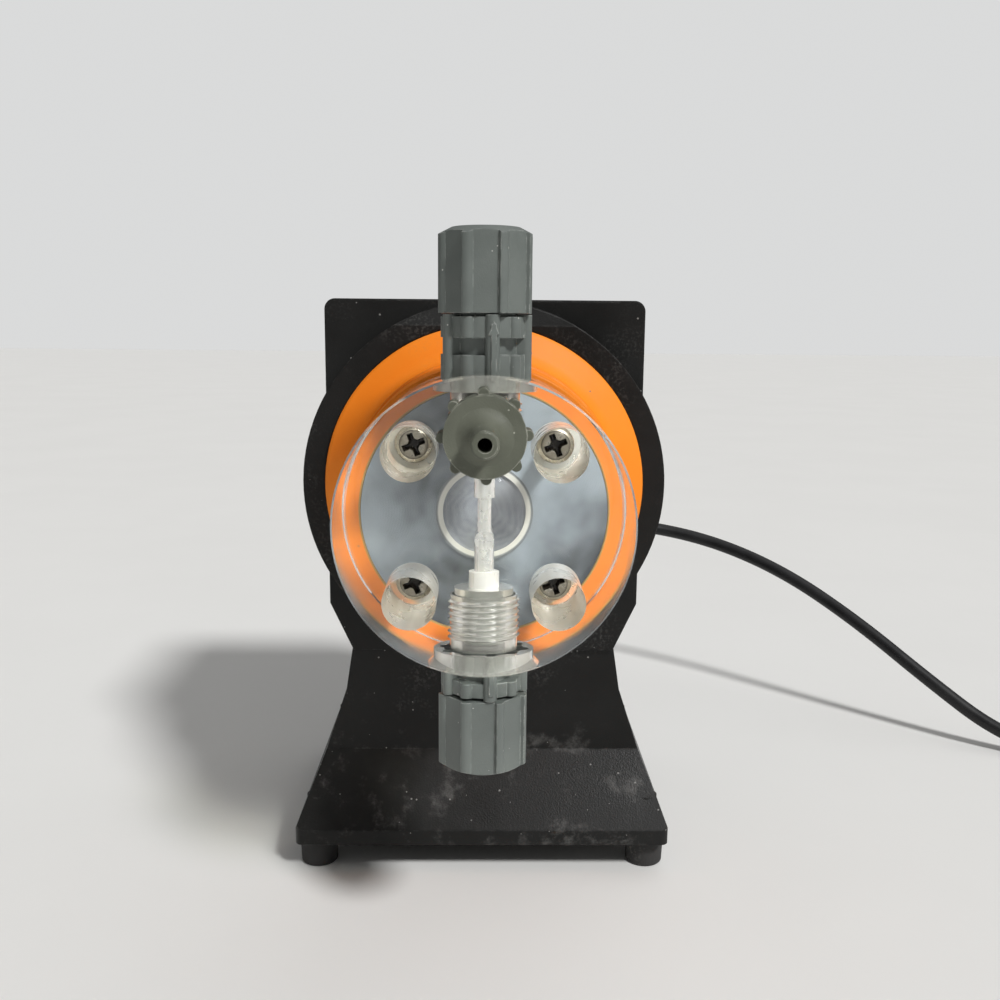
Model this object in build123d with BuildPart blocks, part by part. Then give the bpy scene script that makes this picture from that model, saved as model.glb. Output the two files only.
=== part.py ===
from build123d import *
import math
import os

os.makedirs("parts", exist_ok=True)

# Solenoid diaphragm metering pump, millimetres.
# X is to the right seen from the liquid end, Y runs from the liquid end to the control panel,
# Z is up. The origin is on the floor, under the middle of the pump.

# ---------------------------------------------------------------- driving dimensions
axis_z = 154.0              # height of the pump axis above the floor

head_r = 45.0               # clear pump head
head_front = -94.0
head_back = -48.0
port_y = -73.0              # the vertical port axis inside the head
port_seat = 39.8            # spot faces of the two ports, from the pump axis
port_bore_r = 10.45
port_floor = 22.5           # inner end of the threaded ports
screw_half = 22.2           # half the side of the square of head screws
screw_bore_r = 8.1
screw_bore_depth = 29.0
screw_r = 3.0
chamber_z = -5.5            # cross hole into the pump chamber
bleed_z = 28.5              # bleed valve axis above the pump axis

nut_r = 14.85               # union nuts: crest of the ribs and corners of the facets
nut_facet_r = 13.55
nut_repeats = 8
nut_length = 25.0
nut_hole_r = 6.1
neck_r = 11.8

ball_r = 4.5

plate_r = 39.6              # disc behind the clear head
plate_thick = 4.0
seal_r = 14.45              # chamber seal ring, middle of its section
diaphragm_r = 15.6

adapter_r = 59.0            # orange adapter

flange_r = 67.5             # round flange of the housing
flange_front = -8.0
box_half = 59.6             # box of the housing
box_top = 68.2              # from the pump axis
box_low = -48.0
box_rear = 96.0
cover_rear = 108.0
wall = 3.6

base_half = 73.2
base_low = 12.0             # underside of the housing above the floor
foot_r = 7.6

plate_tall = 4.0            # base plate
foot_spots = [(sx * 65.4, y) for sx in (-1, 1) for y in (-2.0, 94.0)]

stroke = 1.25               # full stroke of the push rod

cord_r = 3.5
coil_middle_r = 37.5

pump_axis = Axis((0, 0, axis_z), (0, 1, 0))


def facing_front(y, x=0.0, z=0.0, turn=0.0):
    """Plane across the pump axis; extrusions from it go towards the liquid end."""
    angle = math.radians(turn)
    across = (math.cos(angle), 0, math.sin(angle))
    return Plane(origin=(x, y, axis_z + z), x_dir=across, z_dir=(0, -1, 0))


def port_plane(side):
    """Plane through the port axis; its Y runs outwards from the pump axis."""
    return Plane(origin=(0, port_y, axis_z), x_dir=(side, 0, 0), z_dir=(0, -1, 0))


def level(z):
    """Horizontal plane at a height measured from the pump axis."""
    return Plane.XY.offset(axis_z + z)


screw_spots = [
    (sx * screw_half, sz * screw_half) for sx in (-1, 1) for sz in (-1, 1)
]

# ================================================================ liquid end

# ---------------------------------------------------------------- clear pump head
bleed_bore_r = 5.0
bleed_bore_depth = 8.0
discharge_channel_r = 2.1
suction_channel_r = 3.0
chamber_dome_r = 12.6
chamber_dome_deep = 2.4

with BuildPart() as pump_head:
    with BuildSketch(facing_front(head_back)):
        Circle(head_r)
    extrude(amount=head_back - head_front)
    chamfer(pump_head.edges().filter_by(GeomType.CIRCLE), length=0.6)
    with Locations(facing_front(head_front)):
        with Locations(*screw_spots):
            CounterBoreHole(radius=screw_r + 0.4, counter_bore_radius=screw_bore_r,
                            counter_bore_depth=screw_bore_depth)
    for side in (1, -1):
        with BuildSketch(level(side * port_seat)):
            with Locations((0, port_y)):
                Circle(nut_r + 0.7)
        extrude(amount=side * 8, mode=Mode.SUBTRACT)
        with BuildSketch(level(side * port_floor)):
            with Locations((0, port_y)):
                Circle(port_bore_r)
        extrude(amount=side * 20, mode=Mode.SUBTRACT)
    # valve seat pockets and the channels to the pump chamber
    for pocket_r, low, high in (
        (3.2, 7.6, 23.0),
        (discharge_channel_r, chamber_z, 8.0),
        (suction_channel_r, -15.6, chamber_z),
        (4.65, -20.5, -15.4),
        (9.2, -23.0, -20.4),
    ):
        with BuildSketch(level(low)):
            with Locations((0, port_y)):
                Circle(pocket_r)
        extrude(amount=high - low, mode=Mode.SUBTRACT)
    with BuildSketch(facing_front(head_back + 0.1, z=chamber_z)):
        Circle(suction_channel_r - 0.05)
    extrude(amount=head_back - port_y + 2.6, mode=Mode.SUBTRACT)
    # pump chamber: a shallow dome in the back face, and the groove of its seal ring
    with BuildSketch(Plane.YZ):
        with BuildLine():
            rim = Line((head_back, axis_z + chamber_dome_r), (head_back + 1, axis_z + chamber_dome_r))
            Line(rim @ 1, (head_back + 1, axis_z))
            Line((head_back + 1, axis_z), (head_back - chamber_dome_deep, axis_z))
            dome_half = (
                head_back - chamber_dome_deep * 0.75,
                axis_z + chamber_dome_r * 0.5,
            )
            ThreePointArc((head_back - chamber_dome_deep, axis_z), dome_half, rim @ 0)
        make_face()
    revolve(axis=pump_axis, mode=Mode.SUBTRACT)
    with BuildSketch(facing_front(head_back)):
        Circle(diaphragm_r)
        Circle(2 * seal_r - diaphragm_r, mode=Mode.SUBTRACT)
    extrude(amount=0.8, mode=Mode.SUBTRACT)
    # bleed valve bore and its passage into the discharge port
    with BuildSketch(facing_front(head_front, z=bleed_z)):
        Circle(bleed_bore_r)
    extrude(amount=-bleed_bore_depth, mode=Mode.SUBTRACT)
    with BuildSketch(facing_front(head_front, z=bleed_z)):
        Circle(1.3)
    extrude(amount=-14, mode=Mode.SUBTRACT)
pump_head.part.label = "pump_head"
export_step(pump_head.part, "parts/pump_head.step")

# ---------------------------------------------------------------- head screws, cross recess pan heads
screw_seat = head_front + screw_bore_depth
screw_head_r = 6.0
screw_head_tall = 4.2
screw_length = 40.0
recess_turn = 22.0

with BuildPart() as head_screws:
    for x, z in screw_spots:
        with BuildSketch(facing_front(screw_seat, x, z)):
            Circle(screw_head_r)
        extrude(amount=screw_head_tall)
        with BuildSketch(facing_front(screw_seat, x, z)):
            Circle(screw_r)
        extrude(amount=-screw_length)
    crowns = head_screws.edges().filter_by(GeomType.CIRCLE).group_by(Axis.Y)[0]
    fillet(crowns, radius=2.4)
    for x, z in screw_spots:
        with BuildSketch(facing_front(screw_seat - screw_head_tall, x, z, recess_turn)):
            Rectangle(7.4, 1.9)
            Rectangle(1.9, 7.4)
            Circle(1.9)
        extrude(amount=-3.4, taper=10, mode=Mode.SUBTRACT)
head_screws.part.label = "head_screws"
export_step(head_screws.part, "parts/head_screws.step")

# ---------------------------------------------------------------- valve bodies, above and below
lobes = 10
body_turn = 10.0            # the bodies are screwed home with one rib 10 degrees off the front
stud_r = 9.75
core_r = 9.8
tier_r = 12.3
lobe_r = 2.1
rib_out = 14.1
valve_bore_r = 3.0
ball_room_r = ball_r + 0.9
valve_sides = {
    # side, end of the body under the nut, tiers as (low, high), ball seat height
    "discharge": (1, 62.6, ((port_seat, 50.4), (55.4, 61.6)), 44.0),
    "suction": (-1, 55.8, ((port_seat, 46.6), (50.2, 54.8)), 41.0),
}

for name, (side, nut_low, tiers, seat_z) in valve_sides.items():
    neck_end = nut_low + 10.6
    insert_base = neck_end
    with BuildPart() as valve_body:
        with BuildSketch(level(side * port_floor)):
            with Locations((0, port_y)):
                Circle(stud_r)
        extrude(amount=side * (port_seat - port_floor))
        with BuildSketch(level(side * port_seat)):
            with Locations((0, port_y)):
                Circle(core_r)
        extrude(amount=side * (nut_low - port_seat))
        with BuildSketch(level(side * nut_low)):
            with Locations((0, port_y)):
                Circle(neck_r)
        extrude(amount=side * (neck_end - nut_low))
        for low, high in tiers:
            with BuildSketch(level(side * low)):
                with Locations((0, port_y)):
                    Circle(tier_r)
                with Locations((0, port_y)):
                    with PolarLocations(tier_r - 0.7, lobes, start_angle=body_turn - 90):
                        Circle(lobe_r)
            extrude(amount=side * (high - low))
        # five ribs run the whole height, rounded on top
        with BuildSketch(level(side * port_seat)):
            with Locations((0, port_y)):
                with PolarLocations(rib_out - lobe_r, lobes // 2, start_angle=body_turn - 90):
                    Circle(lobe_r)
                with PolarLocations(rib_out - lobe_r - 1.6, lobes // 2, start_angle=body_turn - 90):
                    Rectangle(3.2, 2 * lobe_r)
        extrude(amount=side * (nut_low - 0.4 - port_seat))
        # ball room, seat passage and outlet
        with BuildSketch(level(side * (seat_z + 1.5))):
            with Locations((0, port_y)):
                Circle(ball_room_r)
        extrude(amount=side * (neck_end - seat_z - 1.5 - 5), mode=Mode.SUBTRACT)
        with BuildSketch(level(side * port_floor)):
            with Locations((0, port_y)):
                Circle(valve_bore_r)
        extrude(amount=side * (neck_end - port_floor), mode=Mode.SUBTRACT)
        # the port seal's groove on the stud
        with BuildSketch(level(side * (port_seat - 2.6))):
            with Locations((0, port_y)):
                Circle(stud_r + 1)
                Circle(stud_r - 1.4, mode=Mode.SUBTRACT)
        extrude(amount=side * 2.6, mode=Mode.SUBTRACT)
        # raised flow arrow on the front rib, pointing up
        rib_angle = math.radians(body_turn)
        arrow_x = rib_out * math.sin(rib_angle)
        arrow_y = port_y - rib_out * math.cos(rib_angle)
        arrow_mid = axis_z + side * (port_seat + nut_low) / 2
        arrow_half = (nut_low - port_seat) * 0.36
        arrow_plane = Plane(
            origin=(arrow_x, arrow_y, arrow_mid),
            x_dir=(math.cos(rib_angle), math.sin(rib_angle), 0),
            z_dir=(math.sin(rib_angle), -math.cos(rib_angle), 0),
        )
        with BuildSketch(arrow_plane.offset(-0.6)):
            Rectangle(1.5, 2 * arrow_half)
            with BuildLine():
                Polyline((-1.6, arrow_half - 3), (1.6, arrow_half - 3), (0, arrow_half + 0.8), close=True)
            make_face()
        extrude(amount=0.85)
    valve_body.part.label = f"{name}_valve_body"
    export_step(valve_body.part, f"parts/{name}_valve_body.step")

    with BuildPart() as port_ring:
        with BuildSketch(port_plane(side)):
            with Locations((stud_r - 0.25, port_seat - 1.3)):
                Circle(0.94)
        revolve(axis=Axis((0, port_y, 0), (0, 0, 1)))
    port_ring.part.label = f"{name}_port_seal"
    export_step(port_ring.part, f"parts/{name}_port_seal.step")

    # both balls lie on the lower side of their room and lift upwards
    seat_top = axis_z + (seat_z + 3.0 if side > 0 else -(neck_end - 5 - 2.0))
    ball_z = seat_top + math.sqrt(ball_r**2 - 3.4**2)
    with BuildPart() as ball_seat:
        with BuildSketch(Plane.XY.offset(seat_top - (1.5 if side > 0 else 2.0))):
            with Locations((0, port_y)):
                Circle(ball_room_r)
                Circle(2.2, mode=Mode.SUBTRACT)
        extrude(amount=1.5 if side > 0 else 2.0)
        with Locations((0, port_y, ball_z)):
            Sphere(ball_r + 0.01, mode=Mode.SUBTRACT)
    ball_seat.part.label = f"{name}_ball_seat"
    export_step(ball_seat.part, f"parts/{name}_ball_seat.step")

    with BuildPart() as check_ball:
        with Locations((0, port_y, ball_z)):
            Sphere(ball_r)
    check_ball.part.label = f"{name}_ball"
    export_step(check_ball.part, f"parts/{name}_ball.step")

    # hose insert: a flange on the neck and a spigot that spreads the hose
    with BuildPart() as hose_insert:
        with BuildSketch(port_plane(side)):
            with BuildLine():
                Polyline(
                    (2.0, insert_base), (10.9, insert_base), (10.9, insert_base + 2.4),
                    (4.4, insert_base + 2.4), (4.4, insert_base + 4), (3.0, insert_base + 8.4),
                    (2.0, insert_base + 8.4), close=True,
                )
            make_face()
        revolve(axis=Axis((0, port_y, 0), (0, 0, 1)))
    hose_insert.part.label = f"{name}_hose_insert"
    export_step(hose_insert.part, f"parts/{name}_hose_insert.step")

    with BuildPart() as clamp_ring:
        with BuildSketch(port_plane(side)):
            with BuildLine():
                Polyline(
                    (6.3, insert_base + 2.4), (10.6, insert_base + 2.4), (10.6, insert_base + 5),
                    (9.0, insert_base + 8.2), (6.3, insert_base + 8.2), close=True,
                )
            make_face()
        revolve(axis=Axis((0, port_y, 0), (0, 0, 1)))
        with BuildSketch(level(side * (insert_base + 2))):
            with Locations((0, port_y + 8)):
                Rectangle(1.6, 8)
        extrude(amount=side * 8, mode=Mode.SUBTRACT)
    clamp_ring.part.label = f"{name}_clamp_ring"
    export_step(clamp_ring.part, f"parts/{name}_clamp_ring.step")

    # union nut: eight facets, each ending in a rib with one steep flank
    with BuildPart() as union_nut:
        with BuildSketch(level(side * nut_low)):
            with BuildLine():
                for k in range(nut_repeats):
                    middle = math.radians(k * 360 / nut_repeats - 90)
                    spots = []
                    for turn, reach in (
                        (-15.7, nut_facet_r), (15.7, nut_facet_r), (16.6, nut_r - 0.1),
                        (20.0, nut_r), (29.3, nut_facet_r),
                    ):
                        angle = middle + math.radians(turn)
                        spots.append((reach * math.cos(angle), port_y + reach * math.sin(angle)))
                    Line(spots[0], spots[1])
                    Line(spots[1], spots[2])
                    ThreePointArc(spots[2], spots[3], spots[4])
            make_face()
        extrude(amount=side * nut_length)
        # the outer end is cut by a cone, and the inside takes the neck and the hose
        nut_top = nut_low + nut_length
        with BuildSketch(port_plane(side)):
            with BuildLine():
                Polyline(
                    (nut_r - 4.4, nut_top), (nut_r + 1, nut_top), (nut_r + 1, nut_top - 2.75), close=True
                )
            make_face()
        revolve(axis=Axis((0, port_y, 0), (0, 0, 1)), mode=Mode.SUBTRACT)
        with BuildSketch(level(side * nut_low)):
            with Locations((0, port_y)):
                Circle(neck_r + 0.08)
        extrude(amount=side * 19.2, mode=Mode.SUBTRACT)
        with BuildSketch(level(side * nut_low)):
            with Locations((0, port_y)):
                Circle(nut_hole_r)
        extrude(amount=side * nut_length, mode=Mode.SUBTRACT)
    union_nut.part.label = f"{name}_union_nut"
    export_step(union_nut.part, f"parts/{name}_union_nut.step")

# ---------------------------------------------------------------- bleed valve
knob_back = head_front - 1.2
knob_front = head_front - 11.0
knob_r = 11.75
nozzle_tip = -123.5
nozzle_r = 3.85
nozzle_land = 9.0
stem_r = 3.4

bleed_axis = Axis((0, 0, axis_z + bleed_z), (0, 1, 0))
with BuildPart() as bleed_valve_insert:
    with BuildSketch(facing_front(head_front + bleed_bore_depth, z=bleed_z)):
        Circle(bleed_bore_r)
        Circle(stem_r + 0.05, mode=Mode.SUBTRACT)
    extrude(amount=bleed_bore_depth)
    with BuildSketch(facing_front(head_front, z=bleed_z)):
        Circle(8.2)
        Circle(stem_r + 0.05, mode=Mode.SUBTRACT)
    extrude(amount=1.0)
bleed_valve_insert.part.label = "bleed_valve_insert"
export_step(bleed_valve_insert.part, "parts/bleed_valve_insert.step")

with BuildPart() as bleed_knob:
    with BuildSketch(facing_front(knob_back, z=bleed_z)):
        Circle(knob_r)
    extrude(amount=knob_back - knob_front)
    with BuildSketch(facing_front(knob_back, z=bleed_z)):
        with PolarLocations(knob_r + 0.35, 8, start_angle=2):
            Circle(1.6)
    extrude(amount=knob_back - knob_front - 2.6)
    # nozzle with a flared foot and a barbed end
    z0 = axis_z + bleed_z
    with BuildSketch(Plane.YZ):
        with BuildLine():
            Line((knob_front + 1, z0), (knob_front + 1, z0 + 8.2))
            Line((knob_front + 1, z0 + 8.2), (knob_front, z0 + 8.2))
            ThreePointArc((knob_front, z0 + 8.2), (knob_front - 1.6, z0 + 5.6), (knob_front - 4.2, z0 + 4.3))
            Polyline(
                (knob_front - 4.2, z0 + 4.3), (nozzle_tip + nozzle_land, z0 + nozzle_r),
                (nozzle_tip + 0.5, z0 + nozzle_r), (nozzle_tip, z0 + nozzle_r - 0.5),
                (nozzle_tip, z0), (knob_front + 1, z0),
            )
        make_face()
    revolve(axis=bleed_axis)
    # stem in the insert, with a needle end
    with BuildSketch(facing_front(knob_back, z=bleed_z)):
        Circle(stem_r)
    extrude(amount=-7.6)
    with BuildSketch(facing_front(nozzle_tip, z=bleed_z)):
        Circle(1.95)
    extrude(amount=-24, mode=Mode.SUBTRACT)
    with BuildSketch(facing_front(knob_front, z=bleed_z)):
        Circle(0.9)
    extrude(amount=-20, mode=Mode.SUBTRACT)
bleed_knob.part.label = "bleed_knob"
export_step(bleed_knob.part, "parts/bleed_knob.step")

# ---------------------------------------------------------------- diaphragm, seal ring, support plate
with BuildPart() as chamber_seal_ring:
    with BuildSketch(facing_front(head_back)):
        Circle(diaphragm_r)
        Circle(2 * seal_r - diaphragm_r, mode=Mode.SUBTRACT)
    extrude(amount=0.8)
chamber_seal_ring.part.label = "chamber_seal_ring"
export_step(chamber_seal_ring.part, "parts/chamber_seal_ring.step")

diaphragm_rear = head_back + 1.4
rod_r = 3.0
with BuildPart() as diaphragm:
    with BuildSketch(Plane.YZ):
        with BuildLine():
            Polyline(
                (head_back, axis_z),
                (head_back, axis_z + diaphragm_r),
                (diaphragm_rear, axis_z + diaphragm_r),
                (diaphragm_rear, axis_z + 12.6), (head_back + 0.7, axis_z + 10.8),
                (head_back + 0.9, axis_z + 7.0), (head_back + 5.0, axis_z + 6.0), (head_back + 5.0, axis_z),
                close=True,
            )
        make_face()
    revolve(axis=pump_axis)
diaphragm.part.label = "diaphragm"
export_step(diaphragm.part, "parts/diaphragm.step")

with BuildPart() as support_plate:
    with BuildSketch(facing_front(head_back + plate_thick)):
        Circle(plate_r)
        with Locations(*screw_spots):
            Circle(screw_r + 0.3, mode=Mode.SUBTRACT)
    extrude(amount=plate_thick)
    with BuildSketch(facing_front(head_back)):
        Circle(diaphragm_r)
    extrude(amount=-(diaphragm_rear - head_back), mode=Mode.SUBTRACT)
    with BuildSketch(facing_front(head_back)):
        Circle(12.4)
    extrude(amount=-plate_thick, mode=Mode.SUBTRACT)
support_plate.part.label = "support_plate"
export_step(support_plate.part, "parts/support_plate.step")

# ================================================================ drive

# ---------------------------------------------------------------- adapter between head and housing
ring_front = -11.0
ring_back = -4.0
spigot_r = 40.0
spigot_back = 4.0
bush_r = 6.0
bush_front = -30.0

with BuildPart() as head_adapter:
    with BuildSketch(Plane.YZ):
        with BuildLine():
            Polyline(
                (spigot_back, axis_z), (head_back, axis_z), (head_back, axis_z + 46.2),
                (-26.0, axis_z + 47.0), (-26.0, axis_z + 47.6), (-21.5, axis_z + 47.9),
            )
            ThreePointArc(
                (-21.5, axis_z + 47.9), (-16.6, axis_z + 49.5), (-14.2, axis_z + 52.6),
            )
            Polyline(
                (-14.2, axis_z + 52.6), (ring_front, axis_z + adapter_r - 0.8),
                (ring_front + 0.8, axis_z + adapter_r), (ring_back, axis_z + adapter_r),
                (ring_back, axis_z + spigot_r), (spigot_back, axis_z + spigot_r), (spigot_back, axis_z),
            )
        make_face()
    revolve(axis=pump_axis)
    with BuildSketch(facing_front(head_back)):
        Circle(plate_r + 0.15)
    extrude(amount=-plate_thick, mode=Mode.SUBTRACT)
    with BuildSketch(facing_front(head_back)):
        Circle(12.4)
    extrude(amount=-(bush_front - head_back), mode=Mode.SUBTRACT)
    with BuildSketch(facing_front(head_back)):
        Circle(bush_r)
    extrude(amount=-(spigot_back - head_back), mode=Mode.SUBTRACT)
    with BuildSketch(facing_front(head_back)):
        with Locations(*screw_spots):
            Circle(screw_r)
    extrude(amount=-30, mode=Mode.SUBTRACT)
    # weight is saved behind the boss by a ring-shaped pocket
    with BuildSketch(facing_front(spigot_back)):
        Circle(24.0)
        Circle(12.0, mode=Mode.SUBTRACT)
    extrude(amount=26, mode=Mode.SUBTRACT)
    with BuildSketch(facing_front(ring_back)):
        with PolarLocations(52.0, 4, start_angle=45):
            Circle(2.0)
    extrude(amount=7.0, mode=Mode.SUBTRACT)
head_adapter.part.label = "head_adapter"
export_step(head_adapter.part, "parts/head_adapter.step")

with BuildPart() as rod_bush:
    with BuildSketch(facing_front(spigot_back)):
        Circle(bush_r)
        Circle(rod_r + 0.04, mode=Mode.SUBTRACT)
    extrude(amount=spigot_back - bush_front)
rod_bush.part.label = "rod_bush"
export_step(rod_bush.part, "parts/rod_bush.step")

# ---------------------------------------------------------------- solenoid
pot_r = 36.0
pot_front = spigot_back
pot_back = 60.0
core_back = 22.0
coil_inner_r = 15.0
coil_outer_r = 30.0
armature_r = 13.0
armature_front = core_back + 2.2
armature_back = pot_back - 1.0

with BuildPart() as push_rod:
    with BuildSketch(facing_front(armature_front, z=0)):
        Circle(rod_r)
    extrude(amount=armature_front - head_back - 5.0)
push_rod.part.label = "push_rod"
export_step(push_rod.part, "parts/push_rod.step")

with BuildPart() as armature:
    with BuildSketch(facing_front(armature_back)):
        Circle(armature_r)
    extrude(amount=armature_back - armature_front)
    with BuildSketch(facing_front(armature_front)):
        Circle(10.4)
        Circle(5.0, mode=Mode.SUBTRACT)
    extrude(amount=-12.0, mode=Mode.SUBTRACT)
armature.part.label = "armature"
export_step(armature.part, "parts/armature.step")

with BuildPart() as solenoid_pot:
    with BuildSketch(facing_front(pot_back)):
        Circle(pot_r)
    extrude(amount=pot_back - pot_front)
    with BuildSketch(facing_front(pot_back)):
        Circle(coil_outer_r + 2.0)
        Circle(coil_inner_r - 1.6, mode=Mode.SUBTRACT)
    extrude(amount=pot_back - pot_front - 5.0, mode=Mode.SUBTRACT)
    with BuildSketch(facing_front(pot_back)):
        Circle(coil_inner_r - 1.5)
    extrude(amount=pot_back - core_back, mode=Mode.SUBTRACT)
    with BuildSketch(facing_front(pot_back)):
        Circle(rod_r + 0.6)
    extrude(amount=pot_back - pot_front, mode=Mode.SUBTRACT)
solenoid_pot.part.label = "solenoid_pot"
export_step(solenoid_pot.part, "parts/solenoid_pot.step")

with BuildPart() as coil_bobbin:
    with BuildSketch(facing_front(pot_back - 1.0)):
        Circle(coil_inner_r)
        Circle(coil_inner_r - 1.5, mode=Mode.SUBTRACT)
    extrude(amount=pot_back - pot_front - 7.0)
    for y in (pot_front + 6.0 + 2.0, pot_back - 1.0):
        with BuildSketch(facing_front(y)):
            Circle(coil_outer_r + 1.5)
            Circle(coil_inner_r - 1.5, mode=Mode.SUBTRACT)
        extrude(amount=2.0)
coil_bobbin.part.label = "coil_bobbin"
export_step(coil_bobbin.part, "parts/coil_bobbin.step")

with BuildPart() as coil_winding:
    with BuildSketch(facing_front(pot_back - 3.0)):
        Circle(coil_outer_r)
        Circle(coil_inner_r, mode=Mode.SUBTRACT)
    extrude(amount=pot_back - pot_front - 11.0)
coil_winding.part.label = "coil_winding"
export_step(coil_winding.part, "parts/coil_winding.step")

spring_r = 7.6
spring_wire_r = 0.8
spring_start = core_back + spring_wire_r + 0.1
spring_length = 12.0
with BuildPart() as return_spring:
    with BuildLine():
        coil_path = Helix(
            pitch=spring_length / 4, height=spring_length, radius=spring_r,
            center=(0, spring_start, axis_z), direction=(0, 1, 0),
        )
    with BuildSketch(Plane(origin=coil_path @ 0, z_dir=coil_path % 0)):
        Circle(spring_wire_r)
    sweep(path=coil_path)
return_spring.part.label = "return_spring"
export_step(return_spring.part, "parts/return_spring.step")

# ---------------------------------------------------------------- end plate, stroke stop and its knob
plate_back = pot_back + 5.0
stop_r = 4.0
stop_gap = stroke + 0.25
stop_front = armature_back + stop_gap
stop_back = stop_front + 16.0
spindle_front = stop_back + stroke + 0.5
knob_face = 123.5
knob_rear_r = 15.5

with BuildPart() as end_plate:
    with BuildSketch(facing_front(plate_back)):
        Circle(pot_r)
        Circle(stop_r + 0.05, mode=Mode.SUBTRACT)
    extrude(amount=plate_back - pot_back)
    with BuildSketch(facing_front(plate_back + 34.0)):
        Circle(9.0)
        Circle(stop_r + 0.05, mode=Mode.SUBTRACT)
    extrude(amount=34.0)
end_plate.part.label = "end_plate"
export_step(end_plate.part, "parts/end_plate.step")

with BuildPart() as stroke_stop:
    with BuildSketch(facing_front(stop_back)):
        Circle(stop_r)
    extrude(amount=stop_back - stop_front)
    chamfer(stroke_stop.edges().filter_by(GeomType.CIRCLE), length=0.4)
stroke_stop.part.label = "stroke_stop"
export_step(stroke_stop.part, "parts/stroke_stop.step")

with BuildPart() as stroke_spindle:
    with BuildSketch(facing_front(cover_rear + 8.0)):
        Circle(stop_r)
    extrude(amount=cover_rear + 8.0 - spindle_front)
stroke_spindle.part.label = "stroke_spindle"
export_step(stroke_spindle.part, "parts/stroke_spindle.step")

# ================================================================ housing

ped_sections = [
    # height from the pump axis, half width, front, rear
    (-58.0, 50.0, 1.0, 95.0),
    (-84.0, 54.2, 3.0, 96.0),
    (-110.5, 63.0, 6.0, 97.0),
    (-136.0, base_half, -14.0, 106.0),
]
ped_bottom = base_low - axis_z

box_outline = [
    (-box_half, box_low), (-50.8, -67.0), (50.8, -67.0), (box_half, box_low),
    (box_half, box_top), (-box_half, box_top),
]


with BuildPart() as main_housing:
    # box, open to the rear, with rounded top corners
    with BuildSketch(facing_front(box_rear)):
        with BuildLine():
            Polyline(*box_outline, close=True)
        make_face()
    extrude(amount=box_rear)
    fillet(main_housing.edges().filter_by(Axis.Y).group_by(Axis.Z)[-1], radius=4.0)
    # pedestal
    for (z0, w0, f0, r0), (z1, w1, f1, r1) in zip(ped_sections, ped_sections[1:]):
        with BuildSketch(level(z0)):
            with Locations((0, (f0 + r0) / 2)):
                Rectangle(2 * w0, r0 - f0)
        with BuildSketch(level(z1)):
            with Locations((0, (f1 + r1) / 2)):
                Rectangle(2 * w1, r1 - f1)
        loft(ruled=True)
    z1, w1, f1, r1 = ped_sections[-1]
    with BuildSketch(level(z1)):
        with Locations((0, (f1 + r1) / 2)):
            Rectangle(2 * w1, r1 - f1)
    extrude(amount=ped_bottom - z1)
    fillet(main_housing.edges().filter_by(Axis.Z).group_by(Axis.Z)[0], radius=3.0)
    # round flange, its top cut back by a sloping facet
    with BuildSketch(facing_front(4.0)):
        Circle(flange_r)
    extrude(amount=4.0 - flange_front)
    with BuildSketch(Plane.YZ):
        with BuildLine():
            Polyline(
                (flange_front - 1, axis_z + 57.6), (0.5, axis_z + box_top + 0.1),
                (0.5, axis_z + 80), (flange_front - 1, axis_z + 80), close=True,
            )
        make_face()
    extrude(amount=50, both=True, mode=Mode.SUBTRACT)
    # inside of the box and of the pedestal
    with BuildSketch(facing_front(box_rear)):
        with BuildLine():
            Polyline(*box_outline, close=True)
        make_face()
        offset(amount=-wall, kind=Kind.INTERSECTION, mode=Mode.REPLACE)
    extrude(amount=box_rear - 4.0, mode=Mode.SUBTRACT)
    for (z0, w0, f0, r0), (z1, w1, f1, r1) in zip(ped_sections[1:], ped_sections[2:]):
        with BuildSketch(level(z0)):
            with Locations((0, (f0 + r0) / 2)):
                Rectangle(2 * (w0 - wall), r0 - f0 - 2 * wall)
        with BuildSketch(level(z1)):
            with Locations((0, (f1 + r1) / 2)):
                Rectangle(2 * (w1 - wall), r1 - f1 - 2 * wall)
        loft(ruled=True, mode=Mode.SUBTRACT)
    z1, w1, f1, r1 = ped_sections[-1]
    with BuildSketch(level(z1)):
        with Locations((0, (f1 + r1) / 2)):
            Rectangle(2 * (w1 - wall), r1 - f1 - 2 * wall)
    extrude(amount=ped_bottom - z1, mode=Mode.SUBTRACT)
    # posts that the feet are screwed to
    for x, y in foot_spots:
        with BuildSketch(Plane.XY.offset(base_low + plate_tall)):
            with Locations((x, y)):
                Circle(4.5)
        extrude(amount=12.0)
        with BuildSketch(Plane.XY.offset(base_low + plate_tall)):
            with Locations((x, y)):
                Circle(2.0)
        extrude(amount=8.0, mode=Mode.SUBTRACT)
    # seat of the adapter and its screws
    with BuildSketch(facing_front(5.0)):
        Circle(spigot_r)
    extrude(amount=10.0 - flange_front, mode=Mode.SUBTRACT)
    with BuildSketch(facing_front(ring_back)):
        Circle(adapter_r + 0.3)
    extrude(amount=8.0, mode=Mode.SUBTRACT)
    with BuildSketch(facing_front(5.0)):
        with PolarLocations(52.0, 4, start_angle=45):
            Circle(2.3)
    extrude(amount=12.0, mode=Mode.SUBTRACT)
main_housing.part.label = "main_housing"
export_step(main_housing.part, "parts/main_housing.step")

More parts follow.
